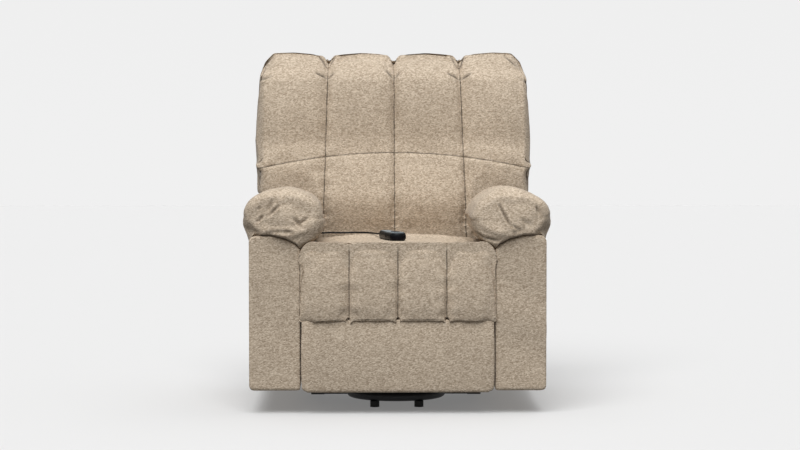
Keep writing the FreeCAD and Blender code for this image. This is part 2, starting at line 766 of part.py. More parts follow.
def back_section(x, depth, bottom_z):
    edge = max(0.0, (abs(x) - back_half_width + 40.0) / 40.0)
    top = total_height - back_notch_depth * depth * (1.0 - edge) - 78.0 * edge ** 2.2
    seam_z = back_cross_seam_z - back_cross_seam_drop * (x / back_half_width) ** 2
    inward = back_seam_depth * depth
    rear_low = (back_board_plane(bottom_z), bottom_z)
    rear_high = (back_board_plane(top - 34.0), top - 34.0)
    front_high = (back_front_y(top - 42.0) + inward + 8.0, top - 42.0)
    crown = ((rear_high[0] + front_high[0]) / 2.0, top)
    seam = (back_front_y(seam_z) + back_seam_depth + 4.0, seam_z)
    low_lift = min(14.0, 0.35 * (seam_z - bottom_z))
    front_low = (back_front_y(bottom_z + low_lift) + 0.4 * inward, bottom_z + low_lift)
    lower_swell = min(3.0 + 21.0 * (1.0 - depth), 0.25 * (seam_z - front_low[1]))
    upper = ((front_high[0] + seam[0]) / 2.0 - 4.0 - 34.0 * (1.0 - depth), (front_high[1] + seam[1]) / 2.0 - 14.0)
    lower = ((front_low[0] + seam[0]) / 2.0 - lower_swell, (front_low[1] + seam[1]) / 2.0)

    def at(point):
        return vec(x, point[0], point[1])

    return Part.Wire([line(at(rear_low), at(rear_high)), arc(at(rear_high), at(crown), at(front_high)),
                      arc(at(front_high), at(upper), at(seam)), arc(at(seam), at(lower), at(front_low)),
                      line(at(front_low), at(rear_low))])


def back_cushion():
    # Four upright channels under a puffed top, crossed by an arched seam, narrower between the arms.
    seams = [-back_half_width, -back_seam_x, 0.0, back_seam_x, back_half_width]
    stations = channel_stations(seams)
    wires = []
    for x, depth in stations:
        inside = abs(x) < back_waist_half_width
        wires.append((x, back_section(x, depth, back_bottom_z if inside else back_waist_z)))
    for side in (-1.0, 1.0):
        for x, bottom in ((back_waist_half_width - 1.0, back_bottom_z), (back_waist_half_width, back_waist_z)):
            wires.append((side * x, back_section(side * x, 0.12, bottom)))
    wires.sort(key=lambda station: station[0])
    return ruled_solid([wire for x, wire in wires])


def back_slab(offset, thickness, z0, z1, half_width):
    # A board parallel to the leaning back, its front face set behind the cushion.
    front0 = back_board_plane(z0) + offset
    front1 = back_board_plane(z1) + offset
    return polygon_x([(front0, z0), (front0 + thickness, z0), (front1 + thickness, z1), (front1, z1)],
                     -half_width, half_width)


def back_frame():
    # Two inner and two outer stiles joined by rails, behind the cushion.
    t = back_frame_thickness
    low = back_bottom_z + back_cover_wall
    high = total_height - 50.0
    inner = layer_one_x0
    outer = back_half_width - 26.0
    pieces = []
    for z0, z1, reach in ((low, low + 40.0, inner), (back_waist_z + 16.0, back_waist_z + 56.0, outer),
                          (high - 80.0, high - 40.0, outer)):
        pieces.append(back_slab(0.0, t, z0, z1, reach))
    for x0, x1, z0 in ((inner - 36.0, inner, low), (outer - 32.0, outer, back_waist_z + 16.0)):
        post = polygon_x([(back_board_plane(z0), z0), (back_board_plane(z0) + t, z0),
                          (back_board_plane(high - 40.0) + t, high - 40.0),
                          (back_board_plane(high - 40.0), high - 40.0)], x0, x1)
        pieces += both_sides(post)
    return fused(pieces)


def back_cover():
    # The padded outer cover of the back, a shallow tray that closes round the frame.
    low = back_bottom_z
    high = total_height - 34.0
    depth = back_rear_y - back_board_plane(high)
    half = back_half_width - 2.0
    outer = back_slab(0.0, depth, low, high, half)
    corners = [edge for edge in outer.Edges if abs(edge.tangentAt(edge.FirstParameter).x) < 0.2
               and edge.BoundBox.ZMin > high - 20.0]
    outer = outer.makeFillet(38.0, corners)
    rim = [edge for edge in outer.Edges if edge.CenterOfMass.y > back_board_plane(edge.CenterOfMass.z) + depth - 2.0]
    outer = outer.makeFillet(16.0, rim)
    wall = back_cover_wall
    return outer.cut(back_slab(-1.0, depth - wall + 1.0, low + wall, high - wall, half - wall))


def back_bracket():
    # A steel arm from the frame's lower stile forward to the recline pivot.
    foot = (back_board_plane(back_bottom_z + 30.0) + back_frame_thickness / 2.0, back_bottom_z + 30.0)
    bar = bar_link([recline_pivot, foot], 28.0, layer_one_x0, layer_one_x1, [running_bore, 0.0])
    return bar


def recline_mounts():
    plate = cylinder_x(recline_pivot, 24.0, mount_plate_x0, seat_half_width)
    pin = pivot_pin(recline_pivot, mount_plate_x0, layer_one_x0)
    return both_sides(fused([plate, pin]))


def foot_pad_section(x, depth):
    edge = max(0.0, (abs(x) - foot_pad_half_width + 61.0) / 61.0)
    top = foot_top_z - 52.0 * edge ** 2.4 - 3.0 * depth
    wide = abs(x) > foot_board_half_width
    tuck = max(0.0, (abs(x) - foot_pad_tuck_half_width) / (foot_board_half_width - foot_pad_tuck_half_width))
    back_high = foot_board_front_y - 6.0 if wide else seat_front_y - 6.0 - 12.0 * tuck
    back_low = back_high if wide else foot_board_front_y
    front = foot_front_y + foot_seam_depth * depth + 7.0 * edge ** 3

    def at(y, z):
        return vec(x, y, z)

    shelf = foot_board_top_z + 2.0
    crown_y = back_high if wide else (back_high + front) / 2.0 - 2.0
    front_high = at(front + 9.0, top - 16.0)
    return Part.Wire([line(at(back_low, foot_seam_z + 1.0), at(back_low, shelf)),
                      line(at(back_low, shelf), at(back_high - 0.1, shelf + 1.0)),
                      line(at(back_high - 0.1, shelf + 1.0), at(back_high, top - 14.0)),
                      arc(at(back_high, top - 14.0), at(crown_y - 1.0, top), front_high),
                      arc(front_high, at(front, (top + foot_seam_z) / 2.0), at(front + 13.0, foot_seam_z + 1.0)),
                      line(at(front + 13.0, foot_seam_z + 1.0), at(back_low, foot_seam_z + 1.0))])


def footrest_pad():
    # The tufted upper pad of the footrest: four channels and full, rounded upper corners.
    seams = [-foot_pad_half_width, -foot_seam_x, 0.0, foot_seam_x, foot_pad_half_width]
    stations = channel_stations(seams)
    stations += [(side * foot_pad_tuck_half_width, 0.2) for side in (-1.0, 1.0)]
    stations += [(side * (foot_board_half_width - 6.0), 0.2) for side in (-1.0, 1.0)]
    stations = [(x, depth if abs(x) < foot_board_half_width else 0.1) for x, depth in stations]
    stations.sort()
    return ruled_solid([foot_pad_section(x, depth) for x, depth in stations])


def foot_panel_section(x, drop, thin):
    low = foot_panel_bottom_z + drop
    high = foot_seam_z
    front = foot_panel_front_y + thin

    def at(y, z):
        return vec(x, y, z)

    return Part.Wire([line(at(foot_board_front_y, low), at(foot_board_front_y, high)),
                      line(at(foot_board_front_y, high), at(front + 7.0, high)),
                      arc(at(front + 7.0, high), at(front, (low + high) / 2.0), at(front + 5.0, low + 4.0)),
                      line(at(front + 5.0, low + 4.0), at(foot_board_front_y, low))])


def footrest_panel():
    half = foot_panel_half_width
    stations = [(-half, 14.0, 5.0), (4.0 - half, 6.0, 3.0), (16.0 - half, 0.0, 1.0), (0.0, 0.0, 0.0),
                (half - 16.0, 0.0, 1.0), (half - 4.0, 6.0, 3.0), (half, 14.0, 5.0)]
    return ruled_solid([foot_panel_section(x, drop, thin) for x, drop, thin in stations])


handset_length = 157.0
handset_width = 50.0
handset_height = 25.0
handset_split = 14.0
handset_centre = (-14.0, -187.0)
handset_turn = -72.0
handset_base_z = seat_crown_z + 0.4
button_radius = 9.0
button_travel = 1.5
button_gap = 0.25
button_stand = 2.0
up_button_place = 46.0
down_button_place = 18.0


def handset_outline(half_length, half_width, z):
    # A waisted rounded plan: broader towards the buttons, narrower at the cord.
    tail = 0.72 * half_width
    points = [vec(-half_length, 0, z), vec(-half_length + tail, tail, z), vec(0.1 * half_length, half_width, z),
              vec(half_length - half_width, half_width, z), vec(half_length, 0, z)]
    quarter = half_width * math.sin(math.radians(45.0))
    side = [arc(points[0], vec(-half_length + tail * 0.293, tail * 0.707, z), points[1]),
            line(points[1], points[2]), line(points[2], points[3]),
            arc(points[3], vec(half_length - half_width + quarter, quarter, z), points[4])]
    other = [edge.mirror(vec(0, 0, 0), vec(0, 1, 0)) for edge in side]
    return Part.Wire(Part.__sortEdges__(side + other))


def handset_slice(levels):
    wires = [handset_outline(handset_length / 2.0 - inset, handset_width / 2.0 - inset, z) for inset, z in levels]
    return ruled_solid(wires)


def handset_lower_case():
    return handset_slice([(5.0, 0.0), (1.5, 3.0), (0.0, 8.0), (0.0, handset_split)])


def handset_upper_case():
    # The upper shell, with a recess for each button.
    shell = handset_slice([(0.0, handset_split), (0.6, 18.5), (3.0, 22.5), (6.5, handset_height)])
    for place in (up_button_place, down_button_place):
        well = cylinder_z(place, 0.0, button_radius + button_gap, handset_split + 3.0, handset_height + 1.0)
        shell = shell.cut(well)
    return shell


def handset_button(place):
    floor = handset_split + 3.0 + button_travel + button_gap
    cap = cylinder_z(place, 0.0, button_radius, floor, handset_height + button_stand)
    rim = [edge for edge in cap.Edges if edge.BoundBox.ZMin > handset_height + button_stand - 0.01]
    return cap.makeChamfer(1.0, rim)


strain_relief_length = 24.0
strain_relief_z = 12.0
cord_radius = 2.5


def handset_strain_relief():
    start = vec(-handset_length / 2.0, 0, strain_relief_z)
    return Part.makeCone(5.0, cord_radius + 1.2, strain_relief_length, start, vec(-1, 0, 0))


def placed_on_seat(shape):
    placed = shape.copy()
    placed.rotate(vec(0, 0, 0), vec(0, 0, 1), handset_turn)
    placed.translate(vec(handset_centre[0], handset_centre[1], handset_base_z))
    return placed


def handset_point(along):
    turn = math.radians(handset_turn)
    return (handset_centre[0] + along * math.cos(turn), handset_centre[1] + along * math.sin(turn),
            handset_base_z + strain_relief_z)


gland_x = -(pad_inner_x + 24.0)
gland_point = (gland_x, 30.0, 497.0)
gland_length = 24.0
gland_radius = 6.0

cord_route = [gland_point, (gland_x + 17.0, 30.0, 497.0), (gland_x + 37.0, 34.0, 491.5),
              (gland_x + 62.0, 41.5, 487.6), (gland_x + 88.0, 46.0, 487.6), (gland_x + 114.0, 43.0, 488.8),
              (gland_x + 137.0, 32.0, 490.4), (gland_x + 157.0, 13.0, 492.0),
              (gland_x + 172.0, -11.0, 494.0), (gland_x + 181.0, -37.0, 496.8),
              handset_point(-handset_length / 2.0 - strain_relief_length - 22.0),
              handset_point(-handset_length / 2.0 - strain_relief_length)]


def cord_gland():
    body = Part.makeCylinder(gland_radius, gland_length, vec(*gland_point), vec(-1, 0, 0))
    return body


def handset_cord():
    # Straight runs joined by tangent arcs, as large as their runs allow.
    points = [vec(*point) for point in cord_route]
    edges = []
    radii = []
    last = points[0]
    for before, corner, after in zip(points, points[1:], points[2:]):
        first = before - corner
        second = after - corner
        shorter = min(first.Length, second.Length)
        reach = 0.45 * shorter
        first.normalize()
        second.normalize()
        turn = math.pi - first.getAngle(second)
        radius = reach / math.tan(turn / 2.0)
        radii.append(round(radius, 1))
        start = corner + first * reach
        end = corner + second * reach
        bisector = first + second
        bisector.normalize()
        centre = corner + bisector * (radius / math.cos(turn / 2.0))
        middle = centre - bisector * radius
        edges.append(line(last, start))
        edges.append(arc(start, middle, end))
        last = end
    edges.append(line(last, points[-1]))
    path = Part.Wire(edges)
    circle = Part.Circle(points[0], points[1] - points[0], cord_radius)
    tube = path.makePipeShell([Part.Wire(circle.toShape())], True, False)
    print("cord radii", radii, "length", round(path.Length, 1),
          "volume share", round(tube.Volume / (math.pi * cord_radius ** 2 * path.Length), 4))
    return tube


control_box_x = (60.0, 170.0)
control_box_depth = 56.0
control_box_height = 38.0


def control_box():
    # The control unit on the front cross tube, with the power lead's round inlet at its rear.
    z0 = platform_bottom_z + rail_size
    y0 = platform_front_y
    case = box(control_box_x[0], control_box_x[1], y0, y0 + control_box_depth, z0, z0 + control_box_height)
    upright = [edge for edge in case.Edges if abs(edge.tangentAt(edge.FirstParameter).z) > 0.99]
    case = case.makeFillet(5.0, upright)
    inlet = Part.makeCylinder(3.5, 12.0, vec(control_box_x[1] - 25.0, y0 + control_box_depth - 11.0, z0 + 16.0),
                              vec(0, 1, 0))
    return case.cut(inlet)


def both_pillows():
    # The left pillow has a pocket for the gland that the handset's cord comes out of.
    right, left = both_sides(fused([arm_pad(), arm_skirt()]))
    return [right, left.cut(cord_gland())]


save("base_side_rails", base_side_rails())
save("base_cross_tubes", [base_cross_tube(base_front_tube_y), base_cross_tube(base_rear_tube_y)])
save("base_front_loop", [base_front_loop()])
save("base_feet", base_feet())
save("base_pivot_brackets", base_brackets() + base_pivot_pins())
save("rear_lift_arms", both_sides(rear_lift_arm()))
save("front_lift_arms", both_sides(front_lift_arm()))
for name, shapes in (("arm_cover", both_sides(arm_cover())), ("arm_frame", both_sides(arm_frame())),
                     ("arm_pillow", both_pillows())):
    save(name + "_right", shapes[:1])
    save(name + "_left", shapes[1:])
save("lift_torsion_tube", [lift_torsion_tube()])
save("lift_lever", [lever(lift_rear_pivot, torsion_tube_radius, lift_lever_pin)])
save("platform_rails", both_sides(platform_rail()))
save("platform_cross_tubes", [platform_cross_tube(platform_front_y + rail_size / 2.0),
                              platform_cross_tube(platform_rear_y - rail_size / 2.0)])
save("platform_ears", platform_ears() + platform_pins())
save("arm_brackets", arm_brackets())
save("seat_posts", seat_posts())
save("seat_side_rails", seat_side_rails())
save("seat_spring_rails", [spring_rail(seat_front_rail_y), spring_rail(seat_rear_rail_y)])
save("seat_springs", seat_springs())
save("seat_cushion", [seat_cushion()])
save("footrest_mounts", footrest_mount_plates() + footrest_mount_pins())
save("footrest_cranks", both_sides(crank_link()) + crank_pins())
save("footrest_drive_tube", [footrest_drive_tube()])
save("footrest_lever", [lever(foot_pivot, foot_tube_radius, foot_lever_pin)])
save("footrest_second_cranks", both_sides(second_crank_link()) + both_sides(flush_pin(second_joint)))
save("footrest_carry_links", both_sides(carry_link()))
save("footrest_guide_links", both_sides(guide_link()))
save("footrest_brackets", footrest_bracket() + footrest_pins())
save("footrest_board", [footrest_board()])
save("footrest_pad", [footrest_pad()])
save("footrest_panel", [footrest_panel()])
save("back_frame", [back_frame()])
save("back_brackets", both_sides(back_bracket()))
save("recline_mounts", recline_mounts())
save("back_cushion", [back_cushion()])
save("back_cover", [back_cover()])

lift_clevis_corners = [(base_rear_tube_y - rail_size / 2.0, base_rail_bottom_z + 2.0),
                       (base_rear_tube_y - rail_size / 2.0, base_rail_bottom_z + base_rail_height),
                       added(lift_motor_pivot, (2.0, 12.8)), added(lift_motor_pivot, (2.0, -12.8))]
foot_clevis_corners = [(seat_rear_rail_y, spring_rail_z1 - 4.0), (seat_rear_rail_y, seat_rail_z1 + 2.0),
                       added(foot_motor_pivot, (12.0, -4.0)), added(foot_motor_pivot, (-12.0, 4.0))]
actuators = (("lift", lift_motor_pivot, lift_rear_pivot, lift_lever_pin, lift_angle, lift_stroke,
              lift_motor_tilt, lift_clevis_corners),
             ("footrest", foot_motor_pivot, foot_pivot, foot_lever_pin, -foot_angle, foot_stroke,
              foot_motor_tilt, foot_clevis_corners))
for name, motor_pivot, lever_pivot, pin_point, turn, stroke, tilt, corners in actuators:
    length = distance(motor_pivot, pin_point)
    play = pin_play(motor_pivot, lever_pivot, pin_point, turn, stroke, tilt)
    along0, along1, across0, across1 = play
    tube_end = length + along0 - 36.0
    save(name + "_motor_clevis", [clevis(motor_pivot, corners)])
    save(name + "_gear_case", [turned_to(actuator_housing(), motor_pivot, pin_point)])
    save(name + "_motor", [turned_to(actuator_motor(), motor_pivot, pin_point)])
    save(name + "_guide_tube", [turned_to(actuator_tube(tube_end), motor_pivot, pin_point)])
    save(name + "_rod", [turned_to(actuator_rod(length, play), motor_pivot, pin_point)])

save("handset_lower_case", [placed_on_seat(handset_lower_case())])
save("handset_upper_case", [placed_on_seat(handset_upper_case())])
save("handset_up_button", [placed_on_seat(handset_button(up_button_place))])
save("handset_down_button", [placed_on_seat(handset_button(down_button_place))])
save("handset_strain_relief", [placed_on_seat(handset_strain_relief())])
save("cord_gland", [cord_gland()])
save("handset_cord", [handset_cord()])
save("control_box", [control_box()])
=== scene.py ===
import bpy
import math
import numpy as np
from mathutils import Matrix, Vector


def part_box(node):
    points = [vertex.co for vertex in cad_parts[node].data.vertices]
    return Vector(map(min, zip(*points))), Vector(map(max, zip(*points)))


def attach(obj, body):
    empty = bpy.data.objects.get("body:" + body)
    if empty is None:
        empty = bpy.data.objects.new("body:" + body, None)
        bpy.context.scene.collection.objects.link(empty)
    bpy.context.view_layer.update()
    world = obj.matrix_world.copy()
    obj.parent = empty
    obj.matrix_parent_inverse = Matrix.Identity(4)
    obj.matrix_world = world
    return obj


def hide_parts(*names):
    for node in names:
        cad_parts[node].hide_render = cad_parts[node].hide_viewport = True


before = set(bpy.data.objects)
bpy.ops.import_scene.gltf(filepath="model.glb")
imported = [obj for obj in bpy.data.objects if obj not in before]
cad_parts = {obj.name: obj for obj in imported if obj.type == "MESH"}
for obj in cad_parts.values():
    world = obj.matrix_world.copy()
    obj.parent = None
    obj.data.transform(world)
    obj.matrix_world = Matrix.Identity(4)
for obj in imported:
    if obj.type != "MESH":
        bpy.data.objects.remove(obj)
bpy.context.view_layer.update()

# ---- Camera ----
# The photograph is taken from about 7 m in front of the arms, a little to the chair's
# left and under the height of its back, with a long lens turned slightly down.

photo_lens = bpy.data.cameras.new("photo_lens")
photo_lens.sensor_width = 36.0
photo_lens.lens = 110.27
photo_lens.clip_end = 60.0
photo_view = bpy.data.objects.new("photo_view", photo_lens)
photo_view.location = (-0.125, -7.451, 0.892)
photo_view.rotation_euler = (math.radians(90.0 - 2.837), 0.0, math.radians(-1.071))
bpy.context.collection.objects.link(photo_view)
bpy.context.scene.camera = photo_view
bpy.context.scene.view_settings.view_transform = "Standard"

# ---- Studio ----
# A pale sheet lies under the chair and another stands far behind it. Two broad soft lights
# come from high in front, a little to the left, and from nearly straight above.


def mesh_piece(name, points, faces, smooth=True):
    mesh = bpy.data.meshes.new(name)
    mesh.from_pydata([tuple(point) for point in points], [], faces)
    mesh.update()
    for polygon in mesh.polygons:
        polygon.use_smooth = smooth
    piece = bpy.data.objects.new(name, mesh)
    bpy.context.collection.objects.link(piece)
    return piece


def paper_sheet(name, profile, shade, glow, half_width=40.0):
    points = [(x, y, z) for y, z in profile for x in (-half_width, half_width)]
    faces = [(i, i + 1, i + 3, i + 2) for i in range(0, len(points) - 2, 2)]
    piece = mesh_piece(name, points, faces)
    paint = bpy.data.materials.new(name + "_paint")
    paint.use_nodes = True
    surface = paint.node_tree.nodes["Principled BSDF"]
    surface.inputs["Base Color"].default_value = (shade, shade, shade, 1.0)
    surface.inputs["Roughness"].default_value = 0.95
    surface.inputs["Specular IOR Level"].default_value = 0.0
    surface.inputs["Emission Color"].default_value = (1.0, 1.0, 1.0, 1.0)
    surface.inputs["Emission Strength"].default_value = glow
    piece.data.materials.append(paint)
    piece.visible_diffuse = False
    piece.visible_shadow = False
    return piece


wall_start = 14.0
wall_bend = 2.5
studio_floor = paper_sheet("studio_floor", [(-40.0, 0.0), (wall_start, 0.0)], shade=0.55, glow=0.175)
wall_curve = [(wall_start + wall_bend * math.sin(math.radians(a)), wall_bend - wall_bend * math.cos(math.radians(a)))
              for a in range(0, 91, 5)]
studio_wall = paper_sheet("studio_wall", wall_curve + [(wall_start + wall_bend, 16.0)], shade=0.02, glow=0.845)

studio_air = bpy.data.worlds.new("studio_air")
studio_air.use_nodes = True
studio_air.node_tree.nodes["Background"].inputs["Color"].default_value = (1.0, 1.0, 1.0, 1.0)
studio_air.node_tree.nodes["Background"].inputs["Strength"].default_value = 0.22
bpy.context.scene.world = studio_air


def broad_light(name, toward, strength, spread):
    lamp = bpy.data.lights.new(name, "SUN")
    lamp.energy = strength
    lamp.angle = math.radians(spread)
    holder = bpy.data.objects.new(name, lamp)
    holder.rotation_euler = Vector(toward).to_track_quat("Z", "Y").to_euler()
    bpy.context.collection.objects.link(holder)


broad_light("front_light", toward=(-0.13, -0.57, 0.81), strength=2.83, spread=50.0)
broad_light("rear_light", toward=(0.15, 0.30, 1.00), strength=1.00, spread=70.0)

# ---- Handset lead ----
# A limp black rubber lead, 5 mm thick. It leaves a gland in the left pillow, lies in one
# lazy curve on the seat and enters the back end of the handset.

handset_middle = (-0.014, -0.187)
handset_turn = math.radians(-72.0)
handset_base = 0.4884
handset_half = 0.0785


def along_handset(reach, rise=0.012):
    return (handset_middle[0] + reach * math.cos(handset_turn),
            handset_middle[1] + reach * math.sin(handset_turn), handset_base + rise)


lead_route = [(-0.236, 0.030, 0.497), (-0.219, 0.030, 0.497), (-0.199, 0.034, 0.4985), (-0.174, 0.0415, 0.4970),
              (-0.148, 0.046, 0.4972), (-0.122, 0.043, 0.4983), (-0.099, 0.032, 0.4985), (-0.079, 0.013, 0.4985),
              (-0.064, -0.011, 0.4980), (-0.055, -0.037, 0.4982),
              along_handset(-handset_half - 0.046), along_handset(-handset_half - 0.024)]
lead_curve = bpy.data.curves.new("handset_lead", "CURVE")
lead_curve.dimensions = "3D"
lead_curve.bevel_depth = 0.0025
lead_curve.bevel_resolution = 5
lead_curve.resolution_u = 12
lead_curve.use_fill_caps = True
lead_line = lead_curve.splines.new("NURBS")
lead_line.points.add(len(lead_route) - 1)
for control, place in zip(lead_line.points, lead_route):
    control.co = (*place, 1.0)
lead_line.order_u = 3
lead_line.use_endpoint_u = True
handset_lead = bpy.data.objects.new("handset_lead", lead_curve)
bpy.context.collection.objects.link(handset_lead)


class Signal:
    """A shader value that joins sums as a number does."""

    def __init__(self, finish, socket):
        self.finish = finish
        self.socket = socket

    def sum(self, operation, first, second=0.0):
        return self.finish.node("ShaderNodeMath", {"operation": operation}, {0: first, 1: second})

    def __add__(self, other):
        return self.sum("ADD", self, other)

    def __radd__(self, other):
        return self.sum("ADD", other, self)

    def __sub__(self, other):
        return self.sum("SUBTRACT", self, other)

    def __rsub__(self, other):
        return self.sum("SUBTRACT", other, self)

    def __mul__(self, other):
        return self.sum("MULTIPLY", self, other)

    def __rmul__(self, other):
        return self.sum("MULTIPLY", other, self)

    def __abs__(self):
        return self.sum("ABSOLUTE", self)

    def other(self, output):
        return Signal(self.finish, self.socket.node.outputs[output])

    def most(self, other):
        return self.sum("MAXIMUM", self, other)


class Finish:
    """One material and the nodes that give it its look."""

    def __init__(self, name, plain):
        self.material = bpy.data.materials.new(name)
        self.material.use_nodes = True
        self.tree = self.material.node_tree
        self.shader = self.tree.nodes["Principled BSDF"]
        for socket, value in plain.items():
            self.set(socket, value)

    def set(self, socket, value):
        self.fill(self.shader.inputs[socket], value)

    def fill(self, socket, value):
        if isinstance(value, Signal):
            self.tree.links.new(value.socket, socket)
        else:
            socket.default_value = value

    def node(self, kind, settings, sockets, output=0):
        made = self.tree.nodes.new(kind)
        for key, value in settings.items():
            if key == "stops":
                while len(made.color_ramp.elements) < len(value):
                    made.color_ramp.elements.new(0.5)
                for element, (place, colour) in zip(made.color_ramp.elements, value):
                    element.position = place
                    element.color = colour
            else:
                setattr(made, key, value)
        for key, value in sockets.items():
            self.fill(made.inputs[key], value)
        return Signal(self, made.outputs[output])

    def place(self):
        return self.node("ShaderNodeTexCoord", {}, {}, "Object")

    def noise(self, place, scale, detail=2.0, roughness=0.5):
        return self.node("ShaderNodeTexNoise", {}, {"Vector": place, "Scale": scale, "Detail": detail,
                                                    "Roughness": roughness}, "Fac")

    def between(self, value, low, high, first=0.0, last=1.0):
        return self.node("ShaderNodeMapRange", {"interpolation_type": "SMOOTHSTEP"},
                         {"Value": value, "From Min": low, "From Max": high, "To Min": first, "To Max": last})

    def blend(self, share, first, last):
        return self.node("ShaderNodeMix", {"data_type": "RGBA"}, {0: share, 6: first, 7: last}, 2)

    def bump(self, height, strength, distance):
        self.set("Normal", self.node("ShaderNodeBump", {}, {"Strength": strength, "Distance": distance,
                                                            "Height": height}, "Normal"))


def rgb(red, green, blue):
    return (red, green, blue, 1.0)


lead_rubber = Finish("lead_rubber", {"Specular IOR Level": 0.20})
grain = lead_rubber.noise(lead_rubber.place(), 900.0, 2.0)
lead_rubber.set("Base Color", lead_rubber.blend(grain, rgb(0.004, 0.004, 0.005), rgb(0.010, 0.010, 0.011)))
lead_rubber.set("Roughness", 0.50 + 0.16 * grain)
lead_rubber.bump(grain, 0.15, 0.0002)
lead_curve.materials.append(lead_rubber.material)
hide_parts("handset_cord")
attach(handset_lead, "chair")

# ---- Cover cloth ----
# Every soft piece has one beige chenille tweed, its flecks 4 mm long and 2 mm high. Dark,
# middle and light yarns are mixed, and the pile lies in faint patches. Painted shade darkens
# the colour in creases and along the seam lines.

yarn_dark = rgb(0.365, 0.288, 0.210)
yarn_mid = rgb(0.505, 0.412, 0.312)
yarn_light = rgb(0.665, 0.560, 0.440)


def tweed(name, sewn=None):
    """The cloth of one piece. Painted shade darkens it in creases, and along seam lines where sewn,
    a function of x, y and z, is 1.
    """
    cloth = Finish(name, {"Roughness": 0.92, "Specular IOR Level": 0.10, "Sheen Weight": 0.10, "Sheen Roughness": 0.5})
    place = cloth.place()
    flecks_per_metre = (225.0, 225.0, 420.0)
    laid = cloth.node("ShaderNodeMapping", {}, {"Vector": place, "Scale": flecks_per_metre})
    fleck = cloth.node("ShaderNodeTexVoronoi", {}, {"Vector": laid, "Scale": 1.0, "Randomness": 0.85}, "Distance")
    chance = cloth.node("ShaderNodeSeparateColor", {}, {"Color": fleck.other("Color")}, "Red")
    wisp = cloth.noise(place, 420.0, 2.0, 0.6)
    mottle = cloth.noise(place, 60.0, 2.0)
    pile = cloth.noise(place, 7.0, 3.0, 0.55)
    yarn = chance + 0.5 * (wisp - 0.5) + 0.15 * (mottle - 0.5)
    tint = cloth.blend(cloth.between(yarn, 0.05, 0.40), yarn_dark, yarn_mid)
    tint = cloth.blend(cloth.between(yarn, 0.55, 0.95), tint, yarn_light)
    # Painted shade: a crease depth stored on the points darkens the colour in creases.
    fold = cloth.node("ShaderNodeAttribute", {"attribute_name": "fold"}, {}, "Fac")
    tone_and_painted_shade = (0.92 + 0.16 * pile) * (1.0 - 0.65 * fold)
    # Painted shade: dark lines along the seams stand in for the shade in their grooves.
    if sewn is not None:
        x = cloth.node("ShaderNodeSeparateXYZ", {}, {"Vector": place}, "X")
        tone_and_painted_shade = tone_and_painted_shade * (1.0 - 0.74 * sewn(cloth, x, x.other("Y"), x.other("Z")))
    cloth.set("Base Color", cloth.node("ShaderNodeVectorMath", {"operation": "SCALE"}, {0: tint, "Scale": tone_and_painted_shade}))
    cloth.set("Roughness", 0.84 + 0.12 * wisp)
    cloth.bump(0.5 * wisp - fleck, 0.5, 0.0012)
    return cloth.material


def seam_shade_line(cloth, gap, strength=1.0):
    """A line of painted seam shade about 3 mm wide where gap, a distance, is near 0."""
    return cloth.between(abs(gap), 0.0011, 0.0030, strength, 0.0)


cover_cloth = tweed("cover_cloth")

# ---- Seat cushion ----
# A foam block in a tight cover, crowned across its width and rounded at the front. It
# lies on the zigzag springs between the arm boxes.


def points_of(piece):
    flat = np.empty(len(piece.data.vertices) * 3)
    piece.data.vertices.foreach_get("co", flat)
    return flat.reshape(-1, 3)


def normals_of(piece):
    flat = np.empty(len(piece.data.vertices) * 3)
    piece.data.vertex_normals.foreach_get("vector", flat)
    return flat.reshape(-1, 3)


def move_points(piece, points):
    piece.data.vertices.foreach_set("co", np.ascontiguousarray(points, dtype=np.float32).ravel())
    piece.data.update()


def baked(piece):
    bpy.context.view_layer.update()
    graph = bpy.context.evaluated_depsgraph_get()
    mesh = bpy.data.meshes.new_from_object(piece.evaluated_get(graph))
    piece.modifiers.clear()
    old = piece.data
    piece.data = mesh
    bpy.data.meshes.remove(old)
    for polygon in piece.data.polygons:
        polygon.use_smooth = True
    return piece


def node_copy(name, node):
    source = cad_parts[node]
    mesh = source.data.copy()
    mesh.transform(source.matrix_world)
    mesh.materials.clear()
    piece = bpy.data.objects.new(name, mesh)
    bpy.context.collection.objects.link(piece)
    return piece


def celled(piece, cell):
    remesh = piece.modifiers.new("cells", "REMESH")
    remesh.mode = "VOXEL"
    remesh.voxel_size = cell
    return baked(piece)


def relaxed(piece, rounds):
    smooth = piece.modifiers.new("relax", "SMOOTH")
    smooth.factor = 0.5
    smooth.iterations = rounds
    return baked(piece)


def divided(piece):
    split = piece.modifiers.new("split", "SUBSURF")
    split.levels = 1
    split.render_levels = 1
    return baked(piece)


def stuffed(piece, inset, pressure, cap, freedom=None):
    """Shrinks the cover by inset, blows it up as cloth, and lets each point move by cap at most."""
    rest = points_of(piece)
    start = rest - inset * normals_of(piece)
    move_points(piece, start)
    scene = bpy.context.scene
    frames = 20
    scene.frame_start = 1
    scene.frame_end = frames
    scene.frame_set(1)
    cloth = piece.modifiers.new("filling", "CLOTH")
    cloth.settings.quality = 4
    cloth.settings.mass = 0.35
    cloth.settings.tension_stiffness = 22.0
    cloth.settings.compression_stiffness = 9.0
    cloth.settings.shear_stiffness = 8.0
    cloth.settings.bending_stiffness = 0.8
    cloth.settings.use_pressure = True
    cloth.settings.uniform_pressure_force = pressure
    cloth.settings.effector_weights.gravity = 0.0
    cloth.collision_settings.use_collision = False
    cloth.point_cache.frame_start = 1
    cloth.point_cache.frame_end = frames
    for step in range(1, frames + 1):
        scene.frame_set(step)
    baked(piece)
    move = points_of(piece) - start
    length = np.linalg.norm(move, axis=1, keepdims=True)
    move *= np.minimum(1.0, cap / np.maximum(length, 1e-9))
    if freedom is not None:
        move *= freedom(rest)[:, None]
    move_points(piece, start + move)
    scene.frame_set(1)
    return piece


def fitted(piece, node):
    """Brings a filled cover back to the room that its solid holds."""
    points = points_of(piece)
    lowest = points.min(axis=0)
    share = (points - lowest) / (points.max(axis=0) - lowest)
    low, high = [np.array(corner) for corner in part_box(node)]
    move_points(piece, low + share * (high - low))
    return piece


